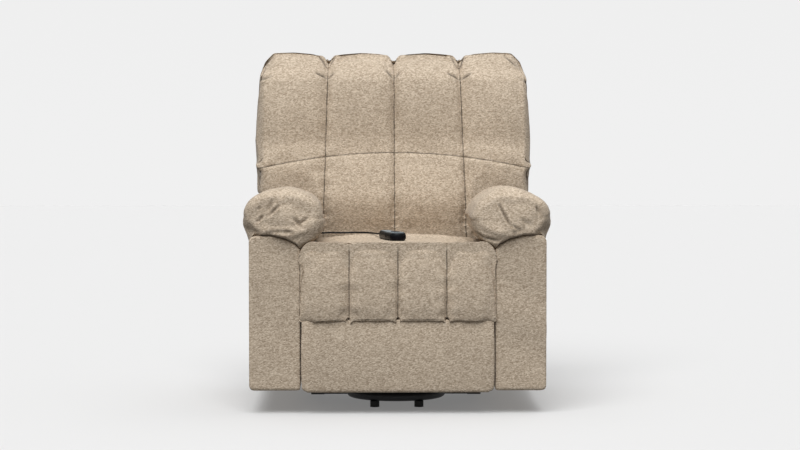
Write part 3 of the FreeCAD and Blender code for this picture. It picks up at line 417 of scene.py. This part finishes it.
def dressed(piece, body, *nodes, slot="beige_fabric", finish=None, fill=None):
    piece.data.materials.clear()
    piece.data.materials.append(finish or cover_cloth)
    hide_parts(*nodes)
    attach(piece, body)
    return piece


def paint_crease_shade(piece, depth):
    """Keeps how deep each point lies in a crease, as painted shade that darkens the cloth's colour there."""
    layer = piece.data.attributes.get("fold") or piece.data.attributes.new("fold", "FLOAT", "POINT")
    layer.data.foreach_set("value", np.clip(depth, 0.0, 1.0).astype(np.float32))


def bell(distance, width):
    """1 at distance 0, falling off over width."""
    return np.exp(-(distance / width) ** 2)


def step_up(value, low, high):
    """Rises smoothly from 0 at low to 1 at high."""
    share = np.clip((value - low) / (high - low), 0.0, 1.0)
    return share * share * (3.0 - 2.0 * share)


def ripple(along, seed, wave):
    """An uneven wave along a seam, the same each time."""
    chance = np.random.default_rng(seed)
    total = np.zeros_like(along)
    for part in range(5):
        rate = 2.0 * math.pi / (wave * chance.uniform(0.6, 1.8))
        total += np.sin(along * rate + chance.uniform(0.0, 6.28)) / 5.0 ** 0.5
    return total


def pulled(points, lines):
    """Sums the pull lines of a front face. Each has two ends in x and z, a depth and a width."""
    total = np.zeros(len(points))
    for start, end, depth, width in lines:
        first = np.array(start)
        run = np.array(end) - first
        flat = points[:, (0, 2)] - first
        share = (flat @ run) / (run @ run)
        apart = np.linalg.norm(flat - np.clip(share, 0.0, 1.0)[:, None] * run, axis=1)
        taper = np.sin(np.pi * np.clip(0.15 + 0.85 * share, 0.0, 1.0))
        taper = np.where((share < -0.1) | (share > 1.1), 0.0, np.maximum(taper, 0.0) ** 0.8)
        total += taper * (-depth * bell(apart, width) + 0.45 * depth * bell(apart - 2.2 * width, 1.3 * width))
    return total


def facing_front(out):
    """Close to 1 where a face looks to the front, falling softly to 0 past its sides."""
    return 1.0 / (1.0 + np.exp((out[:, 1] + 0.1) * 9.0))


def filled_out(points, out, share, cell=0.008):
    """Brings a face's sewn valleys forward, by share, towards the fullest parts beside them."""
    x, y, z = points.T
    empty = 9.0
    across = (x - x.min()) / cell
    up = (z - z.min()) / cell
    face = np.full((int(across.max()) + 2, int(up.max()) + 2), empty)
    ahead = out[:, 1] < -0.2
    np.minimum.at(face, (across[ahead].astype(int), up[ahead].astype(int)), y[ahead])
    for axis, reach in ((0, 8), (1, 5)):
        face = np.min([np.roll(face, step, axis) for step in range(-reach, reach + 1)], axis=0)
    face = np.minimum(face, np.median(face[face < empty]) + 0.2)
    for _ in range(10):
        face = (face + sum(np.roll(face, step, axis) for step in (-1, 1) for axis in (0, 1))) / 5.0
    i = np.clip(across - 0.5, 0.0, face.shape[0] - 1.001)
    j = np.clip(up - 0.5, 0.0, face.shape[1] - 1.001)
    a, b = i.astype(int), j.astype(int)
    s, t = i - a, j - b
    full = (face[a, b] * (1 - s) + face[a + 1, b] * s) * (1 - t) + (face[a, b + 1] * (1 - s) + face[a + 1,
                                                                                      b + 1] * s) * t
    points[:, 1] = y + share * ahead * np.minimum(full - y, 0.0)
    return points


seat = celled(node_copy("seat_cushion_cover", "seat_cushion"), 0.006)
seat = divided(fitted(stuffed(seat, 0.003, 3.0, 0.012), "seat_cushion"))
points = points_of(seat)
upward = step_up(normals_of(seat)[:, 2], 0.1, 0.7)
points[:, 2] += upward * 0.0010 * ripple(points[:, 0] * 0.8 + points[:, 1] * 0.3, 5, 0.09)
points[:, 2] += upward * 0.009 * step_up(points[:, 1], -0.060, 0.030)
points[:, 1] += 0.030 * step_up(points[:, 1], 0.020, 0.084)
bed_half = 0.040
bed_depth = 0.0034
for start, end in zip(lead_route[1:-2], lead_route[2:-1]):
    run = np.array(end[:2]) - start[:2]
    flat = points[:, :2] - start[:2]
    share = np.clip((flat @ run) / (run @ run), 0.0, 1.0)
    apart = np.linalg.norm(flat - share[:, None] * run, axis=1)
    bed = start[2] + share * (end[2] - start[2]) - bed_depth + 0.16 * np.maximum(apart - 0.004, 0.0)
    points[:, 2] = np.where(apart < bed_half, np.minimum(points[:, 2], bed), points[:, 2])
move_points(seat, points)
dressed(seat, "chair", "seat_cushion", fill=0.8)

# ---- Back cushion ----
# Four upright channels filled with fibre. A puffed headrest pillow hangs over the lower
# channels at an arched seam, and each channel is drawn in hard where it is sewn.

back_seams = (-0.217, 0.0, 0.217)
back_middle_y = 0.3225


def upright_seam(seam, z):
    return seam * (1.0922 - 0.14 * z)


def cross_seam(x, middle=0.740):
    return middle - 0.276 * x * x


# Painted shade along the back's upright and arched seams.
def back_seam_shade(cloth, x, y, z):
    wander = 0.004 * (cloth.noise(cloth.place(), 30.0) - 0.5)
    patchy = cloth.between(cloth.noise(cloth.place(), 55.0), 0.35, 0.65, 0.70, 1.0)
    upright_seam_shade = seam_shade_line(cloth, x + wander)
    for seam in (back_seams[0], back_seams[2]):
        upright_seam_shade = upright_seam_shade.most(seam_shade_line(cloth, x - upright_seam(seam, z) + wander))
    return (upright_seam_shade * cloth.between(z, 0.974, 0.986, 1.0, 0.60)).most(seam_shade_line(cloth, z - cross_seam(x) + wander,
                                                                                                    0.85)) * patchy


def back_freedom(points):
    held = np.zeros(len(points))
    for seam in back_seams:
        held = np.maximum(held, bell(points[:, 0] - seam, 0.013))
    held = np.maximum(held, bell(points[:, 2] - cross_seam(points[:, 0], 0.735), 0.012))
    held = np.where(points[:, 1] > back_middle_y, np.maximum(held, 0.9), held)
    return 1.0 - 0.9 * held


back = celled(node_copy("back_cushion_cover", "back_cushion"), 0.008)
back = divided(fitted(stuffed(back, 0.005, 4.0, 0.024, back_freedom), "back_cushion"))
points = points_of(back)
x, y, z = points.T
half = back_seams[2]
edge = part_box("back_cushion")[1][0]
sewn = upright_seam(half, z)
outer = sewn + (np.abs(x) - half) * (edge - sewn) / (edge - half)
points[:, 0] = np.sign(x) * np.where(np.abs(x) < half, np.abs(x) * sewn / half, outer)
heights = (0.640, 0.690, 0.780, 0.850, 0.990)
widen = np.where(x < 0.0, np.interp(z, heights, (0.013, 0.011, 0.017, 0.004, -0.012)),
                 np.interp(z, heights, (0.008, 0.006, -0.002, -0.012, -0.025)))
points[:, 0] *= 1.0 + widen * step_up(np.abs(x), 0.250, 0.405)
points[:, 2] += 0.005 * bell(z - cross_seam(x, 0.735), 0.06)
shown = step_up(-np.abs(x), -0.430, -0.400) * step_up(-z, -1.010, -0.960)
points = filled_out(points, normals_of(back), 0.70 * shown)
points[:, 1] += 0.014 * step_up(z, 0.770, 1.000) * (normals_of(back)[:, 1] < 0.0)
side_face = np.interp(z, (0.660, 0.700, 0.740, 0.780, 0.860, 0.920, 0.980),
                      (0.131, 0.147, 0.167, 0.181, 0.188, 0.201, 0.228))
behind = np.maximum(y - side_face, 0.0)
squared = step_up(np.abs(x), 0.385, 0.408) * step_up(z, 0.650, 0.700) * step_up(-z, -1.000, -0.960)
points[:, 1] -= 0.6 * squared * np.clip(np.minimum(behind, 0.089 * (1.70 - 10.0 * behind)), 0.0, None)
under_wing = step_up(-z, -0.680, -0.630) * step_up(z, 0.500, 0.600)
points[:, 2] -= under_wing * (0.012 * step_up(np.abs(x), 0.262, 0.285) + 0.030 * bell(np.abs(x) - 0.272, 0.026))
for seam in back_seams:
    gap = points[:, 0] - upright_seam(seam, points[:, 2])
    points[:, 0] -= 0.0014 * np.tanh(gap / 0.003) * bell(gap, 0.02)
move_points(back, points)
out = normals_of(back)
x, y, z = points.T
front = facing_front(out)
drop = z - cross_seam(x)
rim = step_up(-np.abs(x), -0.412, -0.385)
push = (0.0016 * ripple(x * 0.7 + z * 0.5, 43, 0.17) - 0.024 * step_up(-z, -0.620, -0.490)) * front
for number, seam in enumerate(back_seams):
    gap = x - upright_seam(seam, z)
    push -= 0.005 * bell(gap, 0.0050) * front
    push -= 0.007 * bell(gap, 0.0055) * step_up(z, 0.995, 1.030)
    push += 0.006 * bell(np.abs(gap) - 0.022, 0.013) * step_up(z, 0.990, 1.035)
    push += 0.0010 * ripple(z, 20 + number, 0.060) * bell(np.abs(gap) - 0.010, 0.016) * front
push += 0.002 * bell(drop - 0.015, 0.015) * (drop > 0.0) * front * rim
push -= 0.004 * bell(drop, 0.0045) * front * rim
push += 0.0010 * ripple(x, 41, 0.060) * bell(np.abs(drop) - 0.012, 0.022) * front
back_pulls = [((-0.420, 1.004), (-0.380, 1.043), 0.0050, 0.0045), ((-0.424, 0.966), (-0.380, 0.980), 0.0045, 0.0050),
              ((0.350, 1.044), (0.394, 1.006), 0.0050, 0.0045), ((0.424, 0.952), (0.380, 0.980), 0.0025, 0.0050),
              ((-0.2110, 0.974), (-0.2480, 0.992), 0.0075, 0.0042), ((-0.2060, 0.975), (-0.1880, 0.990), 0.0050,
                                                                                        0.0040),
              ((-0.0050, 0.973), (-0.0270, 0.998), 0.0065, 0.0042), ((0.0040, 0.973), (0.0180, 0.989), 0.0045, 0.0040),
              ((0.2050, 0.973), (0.1660, 0.992), 0.0075, 0.0042), ((0.2120, 0.973), (0.2430, 0.989), 0.0065, 0.0042),
              ((-0.2100, 1.006), (-0.2420, 1.046), 0.0060, 0.0042), ((-0.2030, 1.010), (-0.1830, 1.044), 0.0045,
                                                                                        0.0040),
              ((0.2000, 1.008), (0.1780, 1.044), 0.0045, 0.0040), ((0.2070, 1.008), (0.2280, 1.046), 0.0065, 0.0042)]
pull = pulled(points, back_pulls) * front
move_points(back, points + (push + pull)[:, None] * out)
# The pulled creases' depth is kept as painted shade for the cloth's colour.
paint_crease_shade(back, np.clip(-pull / 0.0050, 0.0, 1.0))
dressed(back, "back", "back_cushion", finish=tweed("back_cloth", back_seam_shade), fill=0.75)

# ---- Arm pillows ----
# Soft fibre bags over the arm boxes, low at the seat and full on top. Each front end is a
# sunk oval in a rolled rim, drawn into gathers, and tucked down behind the box's top edge.

arm_top = ((0.2805, 0.474), (0.291, 0.487), (0.3205, 0.5025), (0.3635, 0.5135), (0.404, 0.5145), (0.4175, 0.5125),
           (0.4245, 0.5065), (0.4275, 0.498))


def to_section(points, side, section):
    """Brings the pillow's upper section to this outline, each point given outward and up."""
    middle_x, middle_z = 0.334, 0.560
    outward = side * points[:, 0] - middle_x
    up = points[:, 2] - middle_z
    angle = np.arctan2(up, outward)
    reach = np.hypot(outward, up)
    turns = np.linspace(-0.1, math.pi + 0.1, 40)
    body = (points[:, 1] > -0.40) & (points[:, 1] < 0.10)
    have = np.array([reach[body & (np.abs(angle - turn) < 0.06)].max(initial=0.05) for turn in turns])
    wanted_x, wanted_z = [np.array(row) for row in zip(*section)]
    wanted_turn = np.arctan2(wanted_z - middle_z, wanted_x - middle_x)
    wanted = np.interp(turns, wanted_turn, np.hypot(wanted_x - middle_x, wanted_z - middle_z))
    stretch = 1.0 + (np.interp(angle, turns, wanted / have) - 1.0) * step_up(up, -0.030, 0.005)
    points[:, 0] = side * (middle_x + outward * stretch)
    points[:, 2] = middle_z + up * stretch
    return points


def arm_pillow(side, name, node, section, hollow, dimples, darts):
    pillow = celled(node_copy(name, node), 0.006)
    pillow = stuffed(pillow, 0.004, 4.0, 0.018, lambda p: np.clip((p[:, 2] - 0.490) / 0.035, 0.05, 1.0))
    pillow = divided(fitted(pillow, node))
    points = to_section(points_of(pillow), side, section)
    points[:, 2] -= 0.13 * np.maximum(points[:, 2] - 0.490, 0.0) * step_up(points[:, 1], -0.420, 0.240)
    move_points(pillow, points)
    out = normals_of(pillow)
    ahead = facing_front(out)
    x, y, z = points.T
    reach = np.hypot((x - side * 0.334) / 0.088, (z - 0.572) / 0.050)
    push = (0.004 * bell(reach - 1.15, 0.20) + 0.5 * hollow * bell(reach, 0.45)) * ahead
    push -= hollow * step_up(1.10 - reach, 0.0, 0.5) * ahead
    for dimple_x, dimple_z, depth, radius in dimples:
        push -= depth * bell(np.hypot(x - dimple_x, z - dimple_z), radius) * ahead
    push += 0.0012 * ripple(x * 0.6 + z, 61 if side > 0 else 63, 0.12)
    push += 0.0018 * ripple(y + 0.3 * z, 65 if side > 0 else 67, 0.20)
    pull = pulled(points, darts) * ahead
    points += (push + pull)[:, None] * out
    x, y, z = points.T
    outside = step_up(np.abs(x), 0.4255, 0.4285)
    points[:, 2] -= 0.012 * np.clip((0.515 - z) / 0.022, 0.0, 1.0) * outside
    edge_x, edge_z = zip(*arm_top)
    edge = np.interp(np.abs(x), edge_x, edge_z, left=0.40, right=0.40)
    points[:, 1] = np.maximum(y, -0.480 + 0.056 * np.clip((edge + 0.012 - z) / 0.012, 0.0, 1.0))
    move_points(pillow, points)
    # The pulled gathers' depth is kept as painted shade for the cloth's colour.
    paint_crease_shade(pillow, 0.8 * np.clip(-pull / 0.006, 0.0, 1.0))
    return dressed(pillow, "chair", node, fill=0.85)


left_darts = [((-0.367, 0.586), (-0.360, 0.620), 0.0043, 0.0048), ((-0.340, 0.601), (-0.378, 0.567), 0.0059, 0.0040),
              ((-0.387, 0.571), (-0.408, 0.549), 0.0047, 0.0036), ((-0.393, 0.596), (-0.402, 0.588), 0.0034, 0.0032),
              ((-0.280, 0.549), (-0.302, 0.569), 0.0051, 0.0040), ((-0.258, 0.565), (-0.280, 0.549), 0.0047, 0.0044),
              ((-0.280, 0.549), (-0.272, 0.533), 0.0043, 0.0040), ((-0.380, 0.521), (-0.338, 0.525), 0.0038, 0.0044),
              ((-0.345, 0.525), (-0.292, 0.524), 0.0043, 0.0044)]
right_darts = [((0.2900, 0.602), (0.3260, 0.534), 0.0072, 0.0036), ((0.3320, 0.544), (0.3460, 0.527), 0.0051, 0.0032),
               ((0.3990, 0.598), (0.4100, 0.571), 0.0051, 0.0036), ((0.2250, 0.521), (0.2450, 0.508), 0.0047, 0.0040),
               ((0.2440, 0.509), (0.2950, 0.497), 0.0047, 0.0040), ((0.3550, 0.560), (0.3900, 0.540), 0.0026, 0.0056)]
left_section = [(0.4483, 0.560), (0.4470, 0.580), (0.4380, 0.600), (0.4206, 0.623), (0.4060, 0.635), (0.3780, 0.6475),
                (0.3380, 0.653), (0.3027, 0.6495), (0.2742, 0.640), (0.2456, 0.626), (0.2240, 0.603), (0.2170, 0.578),
                (0.2175, 0.560)]
right_section = [(0.4466, 0.560), (0.4466, 0.578), (0.4395, 0.592), (0.4252, 0.614), (0.4044, 0.630), (0.3796, 0.643),
                 (0.3510, 0.652), (0.3154, 0.654), (0.2797, 0.648), (0.2512, 0.6315), (0.2226, 0.603), (0.2085, 0.571),
                 (0.2085, 0.560)]
arm_pillow(-1.0, "left_pillow_cover", "arm_pillow_left", left_section, 0.006,
           [(-0.367, 0.586, 0.005, 0.013), (-0.280, 0.549, 0.005, 0.013)], left_darts)
arm_pillow(1.0, "right_pillow_cover", "arm_pillow_right", right_section, 0.004,
           [(0.308, 0.568, 0.003, 0.022), (0.403, 0.585, 0.003, 0.016)], right_darts)

# ---- Arm boxes ----
# Plywood boxes wrapped in wadding and cloth. The front panel's edges are rolled, a seam,
# drawn as a line of painted shade, runs round just behind them, and the cloth is pulled
# under at the bottom.


def wrapped_box(name, outline, y0, y1, cell, rounds):
    """A closed block with this outline in x and z, its edges rolled as padded cloth rolls them."""
    count = len(outline)
    points = [(x, y, z) for y in (y0, y1) for x, z in outline]
    faces = [tuple(range(count))[::-1], tuple(range(count, 2 * count))]
    faces += [(i, (i + 1) % count, count + (i + 1) % count, count + i) for i in range(count)]
    block = mesh_piece(name, points, faces)
    return relaxed(celled(block, cell), rounds)


# Painted shade along the seam just behind the front panel.
def arm_seam_shade(cloth, x, y, z):
    return seam_shade_line(cloth, y + 0.426 + 0.003 * (cloth.noise(cloth.place(), 30.0) - 0.5), 0.9)


arm_cloth = tweed("arm_cloth", arm_seam_shade)
arm_outline = [(0.2805, 0.067), (0.4165, 0.067), (0.4242, 0.0703), (0.4275, 0.078)] + list(arm_top)[::-1]
for side, name, node in ((-1.0, "left_arm_cover", "arm_cover_left"), (1.0, "right_arm_cover", "arm_cover_right")):
    outline = [(side * x, z) for x, z in arm_outline]
    if side < 0:
        outline = outline[::-1]
    box_cover = wrapped_box(name, outline, -0.440, 0.245, 0.006, 2)
    points = points_of(box_cover)
    out = normals_of(box_cover)
    swell = 0.0012 * ripple(points[:, 2] + 0.4 * points[:, 0], 71, 0.16)
    move_points(box_cover, points + swell[:, None] * out * (np.abs(out[:, :1]) < 0.8))
    dressed(box_cover, "chair", node, finish=arm_cloth)

# ---- Back cover ----
# A flat padded panel closes the rear of the back, its top corners rounded.

back_cover_copy = node_copy("rear_panel_cover", "back_cover")
back_cover_copy = relaxed(celled(back_cover_copy, 0.006), 3)
points = points_of(back_cover_copy)
corner_round = 0.085
over_x = np.abs(points[:, 0]) - (np.abs(points[:, 0]).max() - corner_round)
over_z = points[:, 2] - (points[:, 2].max() - corner_round)
beyond = np.hypot(over_x, over_z)
pull_in = np.where((over_x > 0.0) & (over_z > 0.0), np.minimum(1.0, corner_round / np.maximum(beyond, 1e-6)), 1.0)
points[:, 0] -= np.sign(points[:, 0]) * over_x * (1.0 - pull_in)
points[:, 2] -= over_z * (1.0 - pull_in) + 0.005 * step_up(points[:, 2], 0.990, 1.040)
move_points(back_cover_copy, points)
dressed(back_cover_copy, "back", "back_cover")

# ---- Footrest ----
# A tufted pad in four channels hangs over a smooth lower panel, both stapled to one board.

foot_seams = (-0.140, 0.0, 0.140)


# Painted shade along the pad's three seams, weaker near its top.
def foot_seam_shade(cloth, x, y, z):
    wander = 0.003 * (cloth.noise(cloth.place(), 30.0) - 0.5)
    lines = seam_shade_line(cloth, x + wander)
    for seam in (foot_seams[0], foot_seams[2]):
        lines = lines.most(seam_shade_line(cloth, x - seam + wander))
    return 0.8 * lines * cloth.between(z, 0.466, 0.482, 1.0, 0.35) * cloth.between(z, 0.272, 0.279)


def foot_freedom(points):
    held = np.zeros(len(points))
    for seam in foot_seams:
        held = np.maximum(held, bell(points[:, 0] - seam, 0.012))
    held = np.maximum(held, np.clip((points[:, 1] + 0.452) / 0.010, 0.0, 1.0))
    return 1.0 - 0.9 * held


foot_pad = celled(node_copy("footrest_pad_cover", "footrest_pad"), 0.005)
foot_pad = divided(fitted(stuffed(foot_pad, 0.003, 3.5, 0.012, foot_freedom), "footrest_pad"))
points = points_of(foot_pad)
shown = step_up(-np.abs(points[:, 0]), -0.265, -0.235) * step_up(-points[:, 2], -0.455, -0.410)
points = filled_out(points, normals_of(foot_pad), 0.60 * shown, 0.006)
move_points(foot_pad, points)
out = normals_of(foot_pad)
ahead = facing_front(out)
x, y, z = points.T
push = 0.0012 * ripple(x, 85, 0.05) * bell(z - 0.282, 0.022) * ahead
for number, seam in enumerate(foot_seams):
    gap = x - seam
    push -= (0.004 + 0.003 * step_up(-z, -0.40, -0.29)) * bell(gap, 0.0045) * ahead * step_up(z, 0.270, 0.290)
    push += 0.0010 * ripple(z, 80 + number, 0.05) * bell(np.abs(gap) - 0.010, 0.02) * ahead
push += 0.007 * step_up(np.abs(x), 0.215, 0.250) * step_up(z, 0.420, 0.460)
points += push[:, None] * out
points[:, 1] += 0.016 * np.clip((z - 0.280) / 0.170, 0.0, 1.0) * ahead
points[:, 1] = np.where(out[:, 1] < -0.2, np.minimum(points[:, 1], -0.4445), points[:, 1])
at_seam = sum(bell(x - seam, 0.008) for seam in foot_seams)
points[:, 2] -= (0.004 + 0.009 * at_seam) * step_up(-z, -0.300, -0.275)
move_points(foot_pad, points)
dressed(foot_pad, "footrest", "footrest_pad", finish=tweed("footrest_cloth", foot_seam_shade), fill=0.7)

foot_panel = relaxed(celled(node_copy("footrest_panel_cover", "footrest_panel"), 0.005), 3)
points = points_of(fitted(foot_panel, "footrest_panel"))
points[:, 2] += 0.004 * step_up(points[:, 2], 0.250, 0.268)
move_points(foot_panel, points)
dressed(foot_panel, "footrest", "footrest_panel")

# ---- Handset ----
# A two-part moulded case, gloss black at its sides and blue-grey on top, with two oval
# rubber keys near its front end.

case_black = Finish("case_black", {"Base Color": rgb(0.006, 0.006, 0.008), "Coat Weight": 0.05, "Coat Roughness": 0.10,
                                   "Specular IOR Level": 0.06})
case_black.set("Roughness", 0.22 + 0.10 * case_black.noise(case_black.place(), 60.0, 3.0))
case_blue = Finish("case_blue_grey", {"Coat Weight": 0.05, "Coat Roughness": 0.20, "Specular IOR Level": 0.10})
wear = case_blue.noise(case_blue.place(), 45.0, 4.0)
upward = case_blue.node("ShaderNodeSeparateXYZ", {}, {"Vector": case_blue.place().other("Normal")}, "Z")
top_colour = case_blue.blend(wear, rgb(0.220, 0.260, 0.280), rgb(0.290, 0.335, 0.360))
case_blue.set("Base Color", case_blue.blend(case_blue.between(upward, 0.75, 0.92), rgb(0.006, 0.007, 0.009),
                                                                                       top_colour))
case_blue.set("Roughness", 0.42 + 0.12 * wear)
key_rubber = Finish("key_rubber", {"Base Color": rgb(0.016, 0.018, 0.024)})
key_rubber.set("Roughness", 0.32 + 0.12 * key_rubber.noise(key_rubber.place(), 200.0, 2.0))


def painted(node, material):
    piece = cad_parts[node]
    piece.data.materials.clear()
    piece.data.materials.append(material)
    for polygon in piece.data.polygons:
        polygon.material_index = 0


painted("handset_lower_case", case_black.material)
painted("handset_upper_case", case_blue.material)
painted("handset_up_button", key_rubber.material)
painted("handset_down_button", key_rubber.material)
painted("handset_strain_relief", lead_rubber.material)
painted("cord_gland", lead_rubber.material)

# ---- Steelwork ----
# The base, lift arms and footrest linkage are bent and pressed steel in black powder coat,
# with a fine grit, its blackness and gloss varying in faint clouds.

black_coat = Finish("black_powder_coat", {"Specular IOR Level": 0.4})
grit = black_coat.noise(black_coat.place(), 1400.0, 2.0)
cloudy = black_coat.noise(black_coat.place(), 22.0, 4.0)
black_coat.set("Base Color", black_coat.blend(cloudy, rgb(0.012, 0.012, 0.013), rgb(0.026, 0.026, 0.028)))
black_coat.set("Roughness", 0.38 + 0.18 * cloudy)
black_coat.bump(grit, 0.25, 0.0003)
for node in ("base_side_rails", "base_cross_tubes", "base_front_loop", "base_pivot_brackets", "rear_lift_arms",
             "front_lift_arms", "lift_torsion_tube", "lift_lever", "platform_rails", "platform_cross_tubes",
             "platform_ears", "arm_brackets", "seat_posts", "seat_side_rails", "seat_spring_rails",
             "footrest_mounts", "footrest_cranks", "footrest_second_cranks", "footrest_carry_links",
             "footrest_guide_links", "footrest_brackets", "footrest_drive_tube", "footrest_lever",
             "back_brackets", "recline_mounts", "lift_motor_clevis", "footrest_motor_clevis"):
    painted(node, black_coat.material)

# ---- Springs and rods ----
# Zigzag seat springs in blued wire, and the two actuators' ground steel rods.

spring_wire = Finish("spring_wire", {"Metallic": 0.9})
drawn = spring_wire.noise(spring_wire.place(), 300.0, 2.0)
spring_wire.set("Base Color", spring_wire.blend(drawn, rgb(0.16, 0.16, 0.17), rgb(0.30, 0.30, 0.31)))
spring_wire.set("Roughness", 0.30 + 0.2 * drawn)
painted("seat_springs", spring_wire.material)
ground_steel = Finish("ground_steel", {"Metallic": 1.0})
fine = ground_steel.noise(ground_steel.place(), 800.0, 2.0)
ground_steel.set("Base Color", ground_steel.blend(fine, rgb(0.55, 0.55, 0.56), rgb(0.70, 0.70, 0.71)))
ground_steel.set("Roughness", 0.16 + 0.14 * fine)
painted("lift_rod", ground_steel.material)
painted("footrest_rod", ground_steel.material)

# ---- Actuators and control box ----
# Black glass-filled nylon housings with a fine spark-eroded grain.

nylon = Finish("black_nylon", {"Specular IOR Level": 0.35})
spark = nylon.noise(nylon.place(), 1100.0, 3.0)
nylon.set("Base Color", nylon.blend(spark, rgb(0.016, 0.016, 0.017), rgb(0.034, 0.034, 0.036)))
nylon.set("Roughness", 0.50 + 0.18 * spark)
nylon.bump(spark, 0.3, 0.0004)
for node in ("lift_gear_case", "lift_motor", "lift_guide_tube", "footrest_gear_case", "footrest_motor",
             "footrest_guide_tube", "control_box"):
    painted(node, nylon.material)

# ---- Feet ----
# Moulded rubber glides under the front loop and rails.

foot_rubber = Finish("foot_rubber", {"Specular IOR Level": 0.3})
scuff = foot_rubber.noise(foot_rubber.place(), 120.0, 4.0)
foot_rubber.set("Base Color", foot_rubber.blend(scuff, rgb(0.012, 0.012, 0.012), rgb(0.040, 0.040, 0.038)))
foot_rubber.set("Roughness", 0.62 + 0.2 * scuff)
painted("base_feet", foot_rubber.material)

# ---- Timber ----
# The arm and back frames are birch plywood and pine. The footrest board is wrapped in the
# cover cloth, which is stapled over its edges.

birch = Finish("birch_ply", {"Specular IOR Level": 0.3})
along = birch.node("ShaderNodeMapping", {}, {"Vector": birch.place(), "Scale": (60.0, 60.0, 4.0)})
rings = birch.noise(along, 1.6, 6.0, 0.6)
birch.set("Base Color", birch.blend(birch.between(rings, 0.3, 0.7), rgb(0.50, 0.34, 0.19), rgb(0.72, 0.56, 0.38)))
birch.set("Roughness", 0.50 + 0.2 * rings)
birch.bump(rings, 0.2, 0.0004)
for node in ("arm_frame_left", "arm_frame_right", "back_frame"):
    painted(node, birch.material)
painted("footrest_board", cover_cloth)
